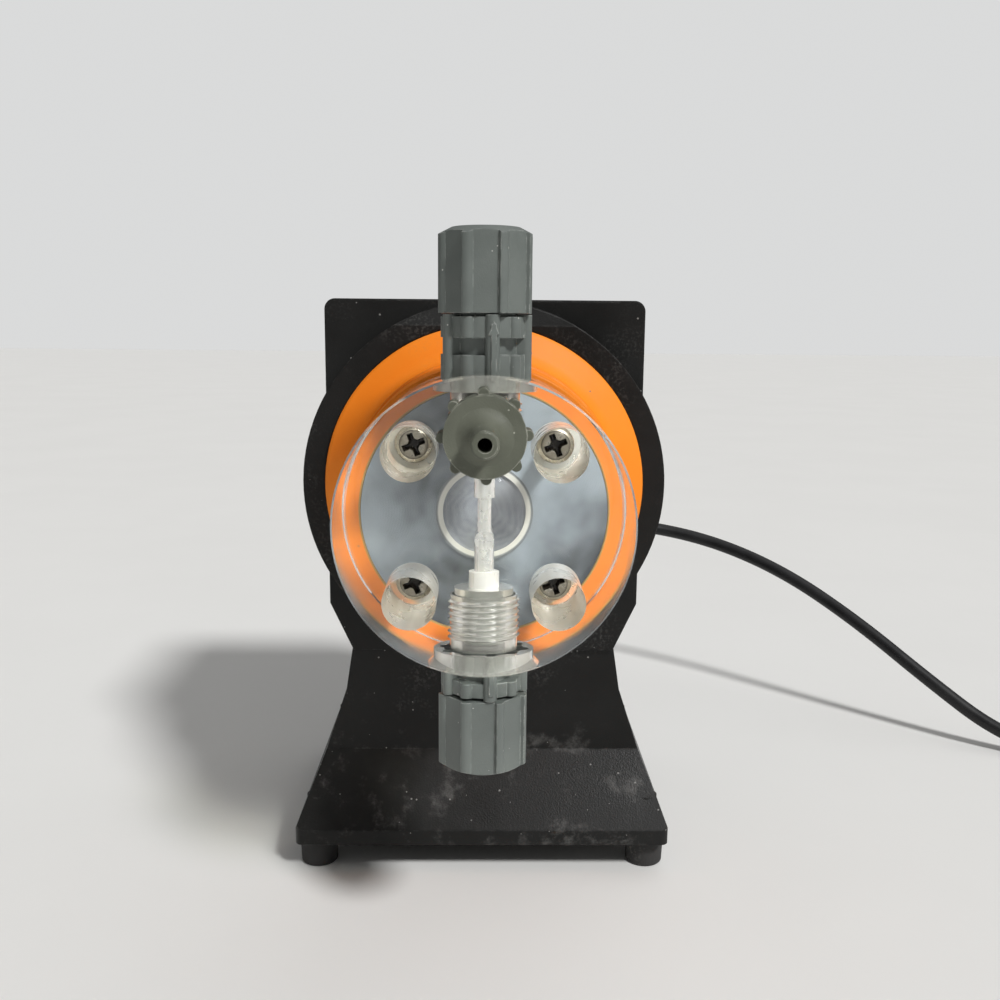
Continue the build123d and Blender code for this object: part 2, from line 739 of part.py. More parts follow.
# ---------------------------------------------------------------- rear cover with the control panel
panel_step = 1.5
gland_x = 38.0
gland_z = -56.0
gland_hole_r = 6.0
socket_x = -12.0
socket_r = 6.0
rate_x = -27.0
rate_z = 38.0
rate_shaft_r = 3.0
switch_x = -35.0
switch_z = -31.0
switch_wide = 13.0
switch_tall = 19.0
led_spots = [(22.0, 46.0), (36.0, 46.0)]
led_r = 2.5
cover_screw_spots = [(-52.0, 60.0), (52.0, 60.0), (-52.0, 0.0), (52.0, 0.0), (-44.0, -52.0), (15.0, -58.0)]
gasket_thick = 1.0
cover_front = box_rear + gasket_thick
cover_hollow = cover_rear - cover_front - wall

with BuildPart() as rear_cover:
    with BuildSketch(facing_front(cover_rear)):
        with BuildLine():
            Polyline(*box_outline, close=True)
        make_face()
    extrude(amount=cover_rear - cover_front)
    fillet(rear_cover.edges().filter_by(Axis.Y).group_by(Axis.Z)[-1], radius=4.0)
    fillet(rear_cover.faces().sort_by(Axis.Y)[-1].edges(), radius=2.0)
    with BuildSketch(facing_front(cover_front)):
        with BuildLine():
            Polyline(*box_outline, close=True)
        make_face()
        offset(amount=-wall - 4.0, kind=Kind.INTERSECTION, mode=Mode.REPLACE)
    extrude(amount=-cover_hollow, mode=Mode.SUBTRACT)
    # sunken field for the controls
    with BuildSketch(facing_front(cover_rear, z=6)):
        RectangleRounded(92.0, 106.0, 6.0)
    extrude(amount=panel_step, mode=Mode.SUBTRACT)
    with BuildSketch(facing_front(cover_rear)):
        Circle(stop_r + 0.4)
        with Locations((rate_x, rate_z)):
            Circle(rate_shaft_r + 0.5)
        with Locations((switch_x, switch_z)):
            Rectangle(switch_wide, switch_tall)
        with Locations(*led_spots):
            Circle(led_r)
        with Locations((gland_x, gland_z)):
            Circle(gland_hole_r)
        with Locations((socket_x, gland_z)):
            Circle(socket_r)
        with Locations(*cover_screw_spots):
            Circle(1.6)
    extrude(amount=20.0, mode=Mode.SUBTRACT)
rear_cover.part.label = "rear_cover"
export_step(rear_cover.part, "parts/rear_cover.step")

with BuildPart() as cover_gasket:
    with BuildSketch(facing_front(cover_front)):
        with BuildLine():
            Polyline(*box_outline, close=True)
        make_face()
        offset(amount=-0.4, kind=Kind.INTERSECTION, mode=Mode.REPLACE)
    extrude(amount=gasket_thick)
    with BuildSketch(facing_front(cover_front)):
        with BuildLine():
            Polyline(*box_outline, close=True)
        make_face()
        offset(amount=-wall, kind=Kind.INTERSECTION, mode=Mode.REPLACE)
    extrude(amount=gasket_thick, mode=Mode.SUBTRACT)
    fillet(cover_gasket.edges().filter_by(Axis.Y).group_by(Axis.Z)[-1], radius=3.6)
cover_gasket.part.label = "cover_gasket"
export_step(cover_gasket.part, "parts/cover_gasket.step")

with BuildPart() as cover_screws:
    for x, z in cover_screw_spots:
        with BuildSketch(facing_front(cover_rear, x, z)):
            Circle(1.6)
        extrude(amount=cover_rear - cover_front + 3.0)
        with BuildSketch(facing_front(cover_rear + 1.6, x, z)):
            Circle(3.0)
        extrude(amount=1.6)
        with BuildSketch(facing_front(cover_rear + 1.6, x, z)):
            Rectangle(3.2, 0.8)
            Rectangle(0.8, 3.2)
        extrude(amount=1.2, mode=Mode.SUBTRACT)
cover_screws.part.label = "cover_screws"
export_step(cover_screws.part, "parts/cover_screws.step")

with BuildPart() as adapter_screws:
    with BuildSketch(facing_front(4.0)):
        with PolarLocations(52.0, 4, start_angle=45):
            Circle(2.0)
    extrude(amount=4.0 - ring_back + 6.5)
    with BuildSketch(facing_front(7.5)):
        with PolarLocations(52.0, 4, start_angle=45):
            RegularPolygon(4.0, 6)
    extrude(amount=3.5)
adapter_screws.part.label = "adapter_screws"
export_step(adapter_screws.part, "parts/adapter_screws.step")

# ---------------------------------------------------------------- controls
field_y = cover_rear - panel_step
board_y = 86.0
board_thick = 1.6

with BuildPart() as control_board:
    with BuildSketch(facing_front(board_y + board_thick)):
        with Locations((0, 38.0)):
            RectangleRounded(100.0, 48.0, 2.0)
    extrude(amount=board_thick)
    with BuildSketch(facing_front(board_y)):
        with Locations((20, 42), (-8, 50)):
            Rectangle(18.0, 12.0)
        with Locations((-40, 44), (40, 26)):
            Circle(5.0)
    extrude(amount=8.0)
control_board.part.label = "control_board"
export_step(control_board.part, "parts/control_board.step")

with BuildPart() as rate_potentiometer:
    with BuildSketch(facing_front(cover_front + cover_hollow, rate_x, rate_z)):
        Circle(8.0)
        Circle(rate_shaft_r + 0.05, mode=Mode.SUBTRACT)
    extrude(amount=cover_front + cover_hollow - board_y - board_thick)
rate_potentiometer.part.label = "rate_potentiometer"
export_step(rate_potentiometer.part, "parts/rate_potentiometer.step")

# both knobs have a skirt, grip flutes and a raised pointer
knobs = {
    # name: x, z, radius, front of the skirt, end of the knob, flutes, shaft radius
    "stroke_knob": (0.0, 0.0, knob_rear_r, knob_face, 18, stop_r),
    "rate_knob": (rate_x, rate_z, 9.0, cover_rear + 12.0, 12, rate_shaft_r),
}
for name, (x, z, radius, end_y, flutes, shaft) in knobs.items():
    start_y = field_y + 0.6
    with BuildPart() as knob:
        with BuildSketch(facing_front(start_y + 3.0, x, z)):
            Circle(radius)
        extrude(amount=3.0)
        with BuildSketch(facing_front(end_y, x, z)):
            Circle(radius * 0.82)
        extrude(amount=end_y - start_y - 3.0)
        fillet(knob.edges().filter_by(GeomType.CIRCLE).group_by(Axis.Y)[-1], radius=1.2)
        with BuildSketch(facing_front(end_y, x, z)):
            with PolarLocations(radius * 0.86, flutes, start_angle=0):
                Circle(radius * 0.075)
        extrude(amount=end_y - start_y - 4.0, mode=Mode.SUBTRACT)
        with BuildSketch(facing_front(end_y, x, z)):
            with Locations((0, radius * 0.45)):
                Rectangle(1.2, radius * 0.5)
        extrude(amount=0.6, mode=Mode.SUBTRACT)
        if name == "stroke_knob":
            with BuildSketch(facing_front(cover_rear + 8.0, x, z)):
                Circle(shaft)
            extrude(amount=10.0, mode=Mode.SUBTRACT)
        else:
            with BuildSketch(facing_front(start_y, x, z)):
                Circle(shaft)
            extrude(amount=start_y - board_y - board_thick - 4.0)
    knob.part.label = name
    export_step(knob.part, f"parts/{name}.step")

with BuildPart() as led_lenses:
    with BuildSketch(facing_front(field_y, 0, 0)):
        with Locations(*led_spots):
            Circle(led_r)
    extrude(amount=8.0)
    for x, z in led_spots:
        with Locations((x, field_y, axis_z + z)):
            Sphere(led_r)
led_lenses.part.label = "led_lenses"
export_step(led_lenses.part, "parts/led_lenses.step")

# rocker switch: the rocker turns about a horizontal pin inside its frame
rocker_tilt = 9.0
rocker_half = 7.4
rocker_wide = 9.0
rocker_y = 103.5
with BuildPart() as power_switch:
    with BuildSketch(facing_front(field_y, switch_x, switch_z)):
        Rectangle(switch_wide, switch_tall)
    extrude(amount=field_y - 88.0)
    with BuildSketch(facing_front(field_y + 1.4, switch_x, switch_z)):
        Rectangle(switch_wide + 2.4, switch_tall + 2.4)
    extrude(amount=1.4)
    with BuildSketch(facing_front(field_y + 1.4, switch_x, switch_z)):
        Rectangle(rocker_wide + 0.8, 2 * rocker_half + 2.4)
    extrude(amount=12.0, mode=Mode.SUBTRACT)
power_switch.part.label = "power_switch"
export_step(power_switch.part, "parts/power_switch.step")

rocker_lean = math.radians(rocker_tilt)
rocker_plane = Plane(
    origin=(switch_x, rocker_y, axis_z + switch_z),
    x_dir=(0, math.cos(rocker_lean), math.sin(rocker_lean)),
    z_dir=(1, 0, 0),
)
with BuildPart() as power_rocker:
    with BuildSketch(rocker_plane):
        with BuildLine():
            Polyline(
                (-1.6, -4.0), (4.2, -rocker_half), (6.4, -rocker_half), (4.6, 0),
                (6.4, rocker_half), (4.2, rocker_half), (-1.6, 4.0), close=True,
            )
        make_face()
    extrude(amount=rocker_wide / 2, both=True)
power_rocker.part.label = "power_rocker"
export_step(power_rocker.part, "parts/power_rocker.step")

with BuildPart() as signal_socket:
    with BuildSketch(facing_front(cover_rear, socket_x, gland_z)):
        Circle(socket_r)
        Circle(socket_r - 1.6, mode=Mode.SUBTRACT)
    extrude(amount=14.0)
    with BuildSketch(facing_front(cover_rear - 12.0, socket_x, gland_z)):
        Circle(socket_r)
    extrude(amount=2.0)
    with BuildSketch(facing_front(cover_rear + 1.5, socket_x, gland_z)):
        Circle(socket_r + 1.5)
        Circle(socket_r - 1.6, mode=Mode.SUBTRACT)
    extrude(amount=1.5)
signal_socket.part.label = "signal_socket"
export_step(signal_socket.part, "parts/signal_socket.step")

with BuildPart() as signal_socket_cap:
    with BuildSketch(facing_front(cover_rear + 4.0, socket_x, gland_z)):
        Circle(socket_r + 1.2)
    extrude(amount=2.5)
    with BuildSketch(facing_front(cover_rear + 4.0, socket_x, gland_z)):
        Circle(socket_r - 1.8)
    extrude(amount=10.0)
    fillet(signal_socket_cap.edges().filter_by(GeomType.CIRCLE).group_by(Axis.Y)[-1], radius=0.8)
signal_socket_cap.part.label = "signal_socket_cap"
export_step(signal_socket_cap.part, "parts/signal_socket_cap.step")

# ---------------------------------------------------------------- base plate and feet
plate_gap = 0.2
base_front, base_back = ped_sections[-1][2], ped_sections[-1][3]
plate_low = base_low
bolt_spacing_x = 90.0
bolt_spacing_y = 70.0
bolt_mid_y = (base_front + base_back) / 2
bolt_hole_r = 2.5

with BuildPart() as base_plate:
    with BuildSketch(Plane.XY.offset(plate_low)):
        with Locations((0, bolt_mid_y)):
            Rectangle(2 * (ped_sections[-1][1] - wall - plate_gap),
                      base_back - base_front - 2 * (wall + plate_gap))
        with Locations((0, bolt_mid_y)):
            with GridLocations(bolt_spacing_x, bolt_spacing_y, 2, 2):
                Circle(bolt_hole_r, mode=Mode.SUBTRACT)
        with Locations(*foot_spots):
            Circle(2.2, mode=Mode.SUBTRACT)
    extrude(amount=plate_tall)
base_plate.part.label = "base_plate"
export_step(base_plate.part, "parts/base_plate.step")

with BuildPart() as rubber_feet:
    for x, y in foot_spots:
        with BuildSketch(Plane.XY.offset(base_low)):
            with Locations((x, y)):
                Circle(foot_r)
        extrude(amount=-base_low, taper=2)
    fillet(rubber_feet.edges().filter_by(GeomType.CIRCLE).group_by(Axis.Z)[0], radius=1.0)
    for x, y in foot_spots:
        with BuildSketch(Plane.XY):
            with Locations((x, y)):
                Circle(3.9)
        extrude(amount=5.0, mode=Mode.SUBTRACT)
        with BuildSketch(Plane.XY):
            with Locations((x, y)):
                Circle(2.0)
        extrude(amount=base_low, mode=Mode.SUBTRACT)
rubber_feet.part.label = "rubber_feet"
export_step(rubber_feet.part, "parts/rubber_feet.step")

with BuildPart() as foot_screws:
    for x, y in foot_spots:
        with BuildSketch(Plane.XY.offset(2.6)):
            with Locations((x, y)):
                Circle(3.6)
        extrude(amount=2.4)
        with BuildSketch(Plane.XY.offset(5.0)):
            with Locations((x, y)):
                Circle(2.0)
        extrude(amount=16.0)
        with BuildSketch(Plane.XY.offset(2.6)):
            with Locations((x, y)):
                Rectangle(4.2, 1.0)
                Rectangle(1.0, 4.2)
        extrude(amount=1.4, mode=Mode.SUBTRACT)
foot_screws.part.label = "foot_screws"
export_step(foot_screws.part, "parts/foot_screws.step")

# ================================================================ mains lead

# ---------------------------------------------------------------- gland and strain relief
gland_nut_front = cover_rear + 4.0
gland_nut_back = cover_rear + 11.0
relief_end = 153.0

with BuildPart() as cable_gland:
    with BuildSketch(facing_front(cover_rear, gland_x, gland_z)):
        Circle(gland_hole_r)
        Circle(cord_r + 0.5, mode=Mode.SUBTRACT)
    extrude(amount=12.0)
    with BuildSketch(facing_front(gland_nut_front, gland_x, gland_z)):
        RegularPolygon(7.8, 6)
        Circle(cord_r + 0.5, mode=Mode.SUBTRACT)
    extrude(amount=4.0)
cable_gland.part.label = "cable_gland"
export_step(cable_gland.part, "parts/cable_gland.step")

with BuildPart() as gland_nut:
    with BuildSketch(facing_front(gland_nut_back, gland_x, gland_z)):
        Circle(7.4)
    extrude(amount=gland_nut_back - gland_nut_front)
    fillet(gland_nut.edges().filter_by(GeomType.CIRCLE).group_by(Axis.Y)[-1], radius=2.0)
    with BuildSketch(facing_front(gland_nut_back, gland_x, gland_z)):
        with PolarLocations(7.9, 12):
            Circle(0.9)
    extrude(amount=5.4, mode=Mode.SUBTRACT)
    with BuildSketch(facing_front(gland_nut_back, gland_x, gland_z)):
        Circle(cord_r + 0.5)
    extrude(amount=gland_nut_back - gland_nut_front, mode=Mode.SUBTRACT)
gland_nut.part.label = "gland_nut"
export_step(gland_nut.part, "parts/gland_nut.step")

with BuildPart() as strain_relief:
    with BuildSketch(Plane(origin=(gland_x, 0, axis_z + gland_z), x_dir=(0, 1, 0), z_dir=(-1, 0, 0))):
        with BuildLine():
            Polyline(
                (gland_nut_back, 0), (gland_nut_back, 5.6), (gland_nut_back + 3, 5.6),
                (relief_end, cord_r + 0.8), (relief_end, 0), close=True,
            )
        make_face()
    revolve(axis=Axis((gland_x, 0, axis_z + gland_z), (0, 1, 0)))
strain_relief.part.label = "strain_relief"
export_step(strain_relief.part, "parts/strain_relief.step")

# ---------------------------------------------------------------- the lead, from strain relief to coil
floor_z = cord_r + 0.1
cord_route = [
    (gland_x, relief_end, axis_z + gland_z),
    (gland_x, 187.0, axis_z + gland_z),
    (60.0, 215.0, 97.0),
    (98.0, 223.0, 93.0),
    (138.0, 211.0, 86.0),
    (174.0, 187.0, 73.0),
    (206.0, 157.0, 53.0),
    (236.0, 129.0, 29.0),
    (262.0, 107.0, 10.0),
    (288.0, 92.0, floor_z),
    (312.5, 86.5, floor_z),
]


def corner_radii(route):
    """Largest tangent arcs that the runs on both sides of each corner allow."""
    radii = []
    for before, here, after in zip(route, route[1:], route[2:]):
        a = Vector(*here) - Vector(*before)
        b = Vector(*after) - Vector(*here)
        half_turn = math.radians(a.get_angle(b)) / 2
        radii.append(0.45 * min(a.length, b.length) / math.tan(half_turn))
    return radii


radii = corner_radii(cord_route)
print("cord radii", [round(r, 1) for r in radii])
with BuildPart() as mains_cord:
    with BuildLine():
        cord_path = FilletPolyline(*cord_route, radius=radii)
    with BuildSketch(Plane(origin=cord_path @ 0, z_dir=cord_path % 0)):
        Circle(cord_r)
    sweep(path=cord_path)
cord_length = cord_path.length
print("cord length", round(cord_length, 1), "volume ratio",
      round(mains_cord.part.volume / (math.pi * cord_r**2 * cord_length), 4))
mains_cord.part.label = "mains_cord"
export_step(mains_cord.part, "parts/mains_cord.step")

coil_x = 345.0
coil_y = 118.0
coil_out_r = 45.0
coil_in_r = 29.5
coil_tall = 21.5
with BuildPart() as mains_cord_coil:
    with BuildSketch(Plane.XY.offset(0.1)):
        with Locations((coil_x, coil_y)):
            Circle(coil_out_r)
            Circle(coil_in_r, mode=Mode.SUBTRACT)
    extrude(amount=coil_tall)
    fillet(mains_cord_coil.edges().filter_by(GeomType.CIRCLE), radius=3.0)
mains_cord_coil.part.label = "mains_cord_coil"
export_step(mains_cord_coil.part, "parts/mains_cord_coil.step")

plug_x = coil_x + coil_middle_r
plug_z = 19.2
plug_start = coil_y + 28.5
plug_face = plug_start + 52.0
with BuildPart() as mains_plug:
    with BuildSketch(Plane(origin=(plug_x, 0, plug_z), x_dir=(0, 1, 0), z_dir=(-1, 0, 0))):
        with BuildLine():
            Polyline(
                (plug_start, 0), (plug_start, 4.4), (plug_start + 18, 6.6), (plug_start + 22, 12.5),
                (plug_start + 32, 14.5),
                (plug_start + 38, 19.0),
                (plug_face, 19.0),
                (plug_face, 0),
                close=True,
            )
        make_face()
    revolve(axis=Axis((plug_x, 0, plug_z), (0, 1, 0)))
mains_plug.part.label = "mains_plug"
export_step(mains_plug.part, "parts/mains_plug.step")

with BuildPart() as mains_plug_pins:
    with BuildSketch(Plane(origin=(plug_x, plug_face, plug_z), x_dir=(1, 0, 0), z_dir=(0, 1, 0))):
        with GridLocations(19.0, 0, 2, 1):
            Circle(2.4)
    extrude(amount=19.0)
    fillet(mains_plug_pins.edges().filter_by(GeomType.CIRCLE).group_by(Axis.Y)[-1], radius=1.6)
mains_plug_pins.part.label = "mains_plug_pins"
export_step(mains_plug_pins.part, "parts/mains_plug_pins.step")
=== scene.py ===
import math
import bmesh
import bpy
from mathutils import Matrix, Vector


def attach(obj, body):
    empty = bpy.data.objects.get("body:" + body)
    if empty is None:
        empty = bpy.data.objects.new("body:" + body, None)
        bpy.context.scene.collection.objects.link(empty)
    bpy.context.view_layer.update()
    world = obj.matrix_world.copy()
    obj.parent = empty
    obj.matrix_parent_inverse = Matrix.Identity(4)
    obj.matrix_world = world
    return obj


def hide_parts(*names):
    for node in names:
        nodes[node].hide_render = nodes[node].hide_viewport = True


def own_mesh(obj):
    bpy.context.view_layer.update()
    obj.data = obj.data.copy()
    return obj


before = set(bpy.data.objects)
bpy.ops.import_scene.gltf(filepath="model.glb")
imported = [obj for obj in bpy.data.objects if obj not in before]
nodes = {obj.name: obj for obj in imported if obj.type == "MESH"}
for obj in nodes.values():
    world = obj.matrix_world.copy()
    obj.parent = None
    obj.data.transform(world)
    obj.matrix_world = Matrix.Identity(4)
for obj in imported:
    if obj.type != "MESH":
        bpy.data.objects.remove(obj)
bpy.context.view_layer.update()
scene = bpy.context.scene
scene.view_settings.view_transform = "Standard"
pumpAxis = 0.154  # height of the pump axis
portY = -0.073  # the vertical port axis inside the head
print("frame loaded:", len(nodes), "nodes")


# helpers for shader trees

def mathNode(tree, operation, first, second=None, third=None):
    node = tree.nodes.new("ShaderNodeMath")
    node.operation = operation
    for slot, value in zip(node.inputs, (first, second, third)):
        if value is None:
            continue
        if isinstance(value, (int, float)):
            slot.default_value = value
        else:
            tree.links.new(value, slot)
    return node.outputs[0]


def rangeNode(tree, value, low, high, toLow=0.0, toHigh=1.0):
    node = tree.nodes.new("ShaderNodeMapRange")
    node.interpolation_type = "SMOOTHSTEP"
    tree.links.new(value, node.inputs["Value"])
    settings = {"From Min": low, "From Max": high, "To Min": toLow, "To Max": toHigh}
    for label, setting in settings.items():
        node.inputs[label].default_value = setting
    return node.outputs["Result"]


def noiseNode(tree, vector, size, detail=4.0, roughness=0.55):
    node = tree.nodes.new("ShaderNodeTexNoise")
    tree.links.new(vector, node.inputs["Vector"])
    if isinstance(size, (int, float)):
        node.inputs["Scale"].default_value = size
    else:
        tree.links.new(size, node.inputs["Scale"])
    node.inputs["Detail"].default_value = detail
    node.inputs["Roughness"].default_value = roughness
    return node.outputs["Fac"]


def objectSpace(tree, shift=(0, 0, 0), stretch=(1, 1, 1)):
    source = tree.nodes.new("ShaderNodeTexCoord")
    mapping = tree.nodes.new("ShaderNodeMapping")
    mapping.inputs["Location"].default_value = shift
    mapping.inputs["Scale"].default_value = stretch
    tree.links.new(source.outputs["Object"], mapping.inputs["Vector"])
    return mapping.outputs["Vector"]


def bumpNode(tree, height, strength, depth):
    node = tree.nodes.new("ShaderNodeBump")
    node.inputs["Distance"].default_value = depth
    if isinstance(strength, (int, float)):
        node.inputs["Strength"].default_value = strength
    else:
        tree.links.new(strength, node.inputs["Strength"])
    tree.links.new(height, node.inputs["Height"])
    return node


def mixColour(tree, factor, first, second):
    node = tree.nodes.new("ShaderNodeMix")
    node.data_type = "RGBA"
    tree.links.new(factor, node.inputs["Factor"])
    for socket, value in ((node.inputs["A"], first), (node.inputs["B"], second)):
        if isinstance(value, tuple):
            socket.default_value = (*value, 1)
        else:
            tree.links.new(value, socket)
    return node.outputs["Result"]


# shader groups: effects that several finishes share

effects = {
    "edgeSamples": 4,
    "grain": {"detail": 3, "depth": 0.0004},
    "wearAndHighlight": {"edge": (0.01, 0.12), "broken": (0.42, 0.62)},
    "dust": {
        "speckReach": 0.17, "wide": (0.5, 0.74), "fine": (0.46, 0.66),
        "wideNoise": (28, 6, 0.62), "fineNoise": (900, 2, 0.6),  # size, detail, roughness
    },
    "tone": {"detail": 5, "roughness": 0.6, "spread": (0.3, 0.7)},
}


def startGroup(name, inputs, output, kind="NodeSocketFloat"):
    group = bpy.data.node_groups.new(name, "ShaderNodeTree")
    for label, value in inputs.items():
        socket = group.interface.new_socket(
            name=label, in_out="INPUT", socket_type="NodeSocketFloat")
        socket.default_value = value
    group.interface.new_socket(name=output, in_out="OUTPUT", socket_type=kind)
    entry = group.nodes.new("NodeGroupInput")
    leave = group.nodes.new("NodeGroupOutput")
    return group, entry, leave


def softNormal(group, radius):  # the normal with its edges rounded off
    soft = group.nodes.new("ShaderNodeBevel")
    soft.samples = effects["edgeSamples"]
    group.links.new(radius, soft.inputs["Radius"])
    return soft.outputs["Normal"]


def makeGrain():  # moulded or blasted grain over softened edges
    inputs = {"Scale": 900, "Strength": 0.2, "Edge": 0.0004}
    group, entry, leave = startGroup("mouldedGrain", inputs, "Normal", "NodeSocketVector")
    grain = noiseNode(
        group, objectSpace(group), entry.outputs["Scale"], effects["grain"]["detail"])
    bump = bumpNode(group, grain, entry.outputs["Strength"], effects["grain"]["depth"])
    group.links.new(softNormal(group, entry.outputs["Edge"]), bump.inputs["Normal"])
    group.links.new(bump.outputs["Normal"], leave.inputs["Normal"])
    return group


def makeEdgeWearAndHighlight():  # broken bright line along edges: rubbed wear, and on the valve parts and knobs a painted highlight
    inputs = {"Radius": 0.0008, "Amount": 0.5, "Scale": 220}
    group, entry, leave = startGroup("edgeWearAndHighlight", inputs, "Mask")
    surface = group.nodes.new("ShaderNodeNewGeometry")
    dot = group.nodes.new("ShaderNodeVectorMath")
    dot.operation = "DOT_PRODUCT"
    group.links.new(softNormal(group, entry.outputs["Radius"]), dot.inputs[0])
    group.links.new(surface.outputs["Normal"], dot.inputs[1])
    turned = mathNode(group, "SUBTRACT", 1.0, dot.outputs["Value"])
    edge = rangeNode(group, turned, *effects["wearAndHighlight"]["edge"])
    patchy = noiseNode(group, objectSpace(group), entry.outputs["Scale"])
    broken = rangeNode(group, patchy, *effects["wearAndHighlight"]["broken"])
    mask = mathNode(group, "MULTIPLY", edge, broken)
    mask = mathNode(group, "MULTIPLY", mask, entry.outputs["Amount"])
    group.links.new(mask, leave.inputs["Mask"])
    return group


def makeDust():  # single specks, and thin dust that gathers in patches
    dust = effects["dust"]
    inputs = {"Scale": 260, "Specks": 0.2, "Patches": 0.2}
    group, entry, leave = startGroup("dustAndSpecks", inputs, "Mask")
    vector = objectSpace(group)
    cells = group.nodes.new("ShaderNodeTexVoronoi")
    group.links.new(vector, cells.inputs["Vector"])
    group.links.new(entry.outputs["Scale"], cells.inputs["Scale"])
    split = group.nodes.new("ShaderNodeSeparateColor")
    group.links.new(cells.outputs["Color"], split.inputs["Color"])
    chosen = mathNode(group, "LESS_THAN", split.outputs["Red"], entry.outputs["Specks"])
    reach = mathNode(group, "MULTIPLY", split.outputs["Green"], dust["speckReach"])
    dot = mathNode(group, "LESS_THAN", cells.outputs["Distance"], reach)
    specks = mathNode(group, "MULTIPLY", chosen, dot)
    wide = rangeNode(group, noiseNode(group, vector, *dust["wideNoise"]), *dust["wide"])
    fine = rangeNode(group, noiseNode(group, vector, *dust["fineNoise"]), *dust["fine"])
    patches = mathNode(group, "MULTIPLY", wide, fine)
    patches = mathNode(group, "MULTIPLY", patches, entry.outputs["Patches"])
    group.links.new(mathNode(group, "MAXIMUM", specks, patches), leave.inputs["Mask"])
    return group


def makeTone():  # slow change of tone over the surface
    tone = effects["tone"]
    group, entry, leave = startGroup("slowTone", {"Scale": 30}, "Mask")
    cloudy = noiseNode(
        group, objectSpace(group), entry.outputs["Scale"], tone["detail"], tone["roughness"])
    group.links.new(rangeNode(group, cloudy, *tone["spread"]), leave.inputs["Mask"])
    return group


groups = {"grain": makeGrain(), "wearAndHighlight": makeEdgeWearAndHighlight(), "dust": makeDust(), "tone": makeTone()}
print("shader groups ready")


# finishes

def placeGroup(tree, key, settings):
    node = tree.nodes.new("ShaderNodeGroup")
    node.node_tree = groups[key]
    for label, value in settings.items():
        node.inputs[label].default_value = value
    return node


def startMaterial(name):
    material = bpy.data.materials.new(name)
    material.use_nodes = True
    tree = material.node_tree
    return material, tree, tree.nodes["Principled BSDF"]


plainLook = {"wearAndHighlightRadius": 0.0008, "grainScale": 900, "metallic": 0.0, "specular": 0.5}
smearBand = {"low": 0.046, "high": 0.062, "noise": (55, 8, 0.7), "cloud": (0.52, 0.7)}


def makeFinish(name, values):
    look = {**plainLook, **values}
    material, tree, shader = startMaterial(name)
    tone = placeGroup(tree, "tone", {"Scale": look["toneScale"]}).outputs["Mask"]
    colour = mixColour(tree, tone, look["colour"], look["tone"])
    # light colour along the edges: rubbed wear, and on the valve parts and knobs a painted
    # highlight
    if "wearAndHighlight" in look:
        wearAndHighlight = placeGroup(
            tree, "wearAndHighlight", {"Amount": look["wearAndHighlight"], "Radius": look["wearAndHighlightRadius"]})
        colour = mixColour(tree, wearAndHighlight.outputs["Mask"], colour, look["wearAndHighlightColour"])
    if "smears" in look:  # wiped dust on the foot of the pedestal
        split = tree.nodes.new("ShaderNodeSeparateXYZ")
        vector = objectSpace(tree)
        tree.links.new(vector, split.inputs["Vector"])
        low = rangeNode(
            tree, split.outputs["Z"], smearBand["low"], smearBand["high"], look["smears"], 0.0)
        cloud = rangeNode(tree, noiseNode(tree, vector, *smearBand["noise"]), *smearBand["cloud"])
        smears = mathNode(tree, "MULTIPLY", low, cloud)
        colour = mixColour(tree, smears, colour, look["dustColour"])
    if "dust" in look:
        dust = placeGroup(tree, "dust", {
            "Scale": look["dustScale"], "Specks": look["dust"], "Patches": look["patches"]})
        colour = mixColour(tree, dust.outputs["Mask"], colour, look["dustColour"])
    tree.links.new(colour, shader.inputs["Base Color"])
    rough = rangeNode(tree, tone, 0.0, 1.0, *look["roughness"])
    tree.links.new(rough, shader.inputs["Roughness"])
    grain = placeGroup(tree, "grain", {
        "Scale": look["grainScale"], "Strength": look["grain"], "Edge": look["edge"]})
    tree.links.new(grain.outputs["Normal"], shader.inputs["Normal"])
    shader.inputs["Metallic"].default_value = look["metallic"]
    shader.inputs["Specular IOR Level"].default_value = look["specular"]
    return material


housingBlack = makeFinish("housingBlack", {
    "colour": (0.0055, 0.0055, 0.005), "tone": (0.0115, 0.0115, 0.011), "toneScale": 22,
    "wearAndHighlight": 0.5, "wearAndHighlightColour": (0.1, 0.098, 0.094), "wearAndHighlightRadius": 0.0007,
    "dust": 0.14, "dustScale": 460, "patches": 0.2, "dustColour": (0.22, 0.215, 0.205),
    "smears": 0.3, "roughness": (0.34, 0.52), "grain": 0.3, "grainScale": 1500,
    "edge": 0.0009, "specular": 0.22})
panelBlack = makeFinish("panelBlack", {
    "colour": (0.009, 0.009, 0.0095), "tone": (0.015, 0.015, 0.0155), "toneScale": 40,
    "wearAndHighlight": 0.25, "wearAndHighlightColour": (0.1, 0.1, 0.1),
    "dust": 0.05, "dustScale": 420, "patches": 0.08, "dustColour": (0.18, 0.175, 0.165),
    "roughness": (0.36, 0.48), "grain": 0.25, "grainScale": 1900, "edge": 0.0006,
    "specular": 0.3})
adapterOrange = makeFinish("adapterOrange", {
    "colour": (0.92, 0.225, 0.01), "tone": (0.97, 0.28, 0.018), "toneScale": 14,
    "wearAndHighlight": 0.3, "wearAndHighlightColour": (0.9, 0.45, 0.16),
    "dust": 0.05, "dustScale": 420, "patches": 0.12, "dustColour": (0.4, 0.2, 0.09),
    "roughness": (0.4, 0.55), "grain": 0.12, "grainScale": 1600, "edge": 0.0007,
    "specular": 0.28})
# the light colour along the edges of the valve parts is a painted highlight
valveGrey = makeFinish("valveGrey", {
    "colour": (0.124, 0.14, 0.13), "tone": (0.158, 0.176, 0.163), "toneScale": 45,
    "wearAndHighlight": 1.0, "wearAndHighlightColour": (0.44, 0.46, 0.43), "wearAndHighlightRadius": 0.0005,
    "dust": 0.16, "dustScale": 620, "patches": 0.1, "dustColour": (0.6, 0.6, 0.56),
    "roughness": (0.34, 0.5), "grain": 0.16, "grainScale": 2000, "edge": 0.0005})
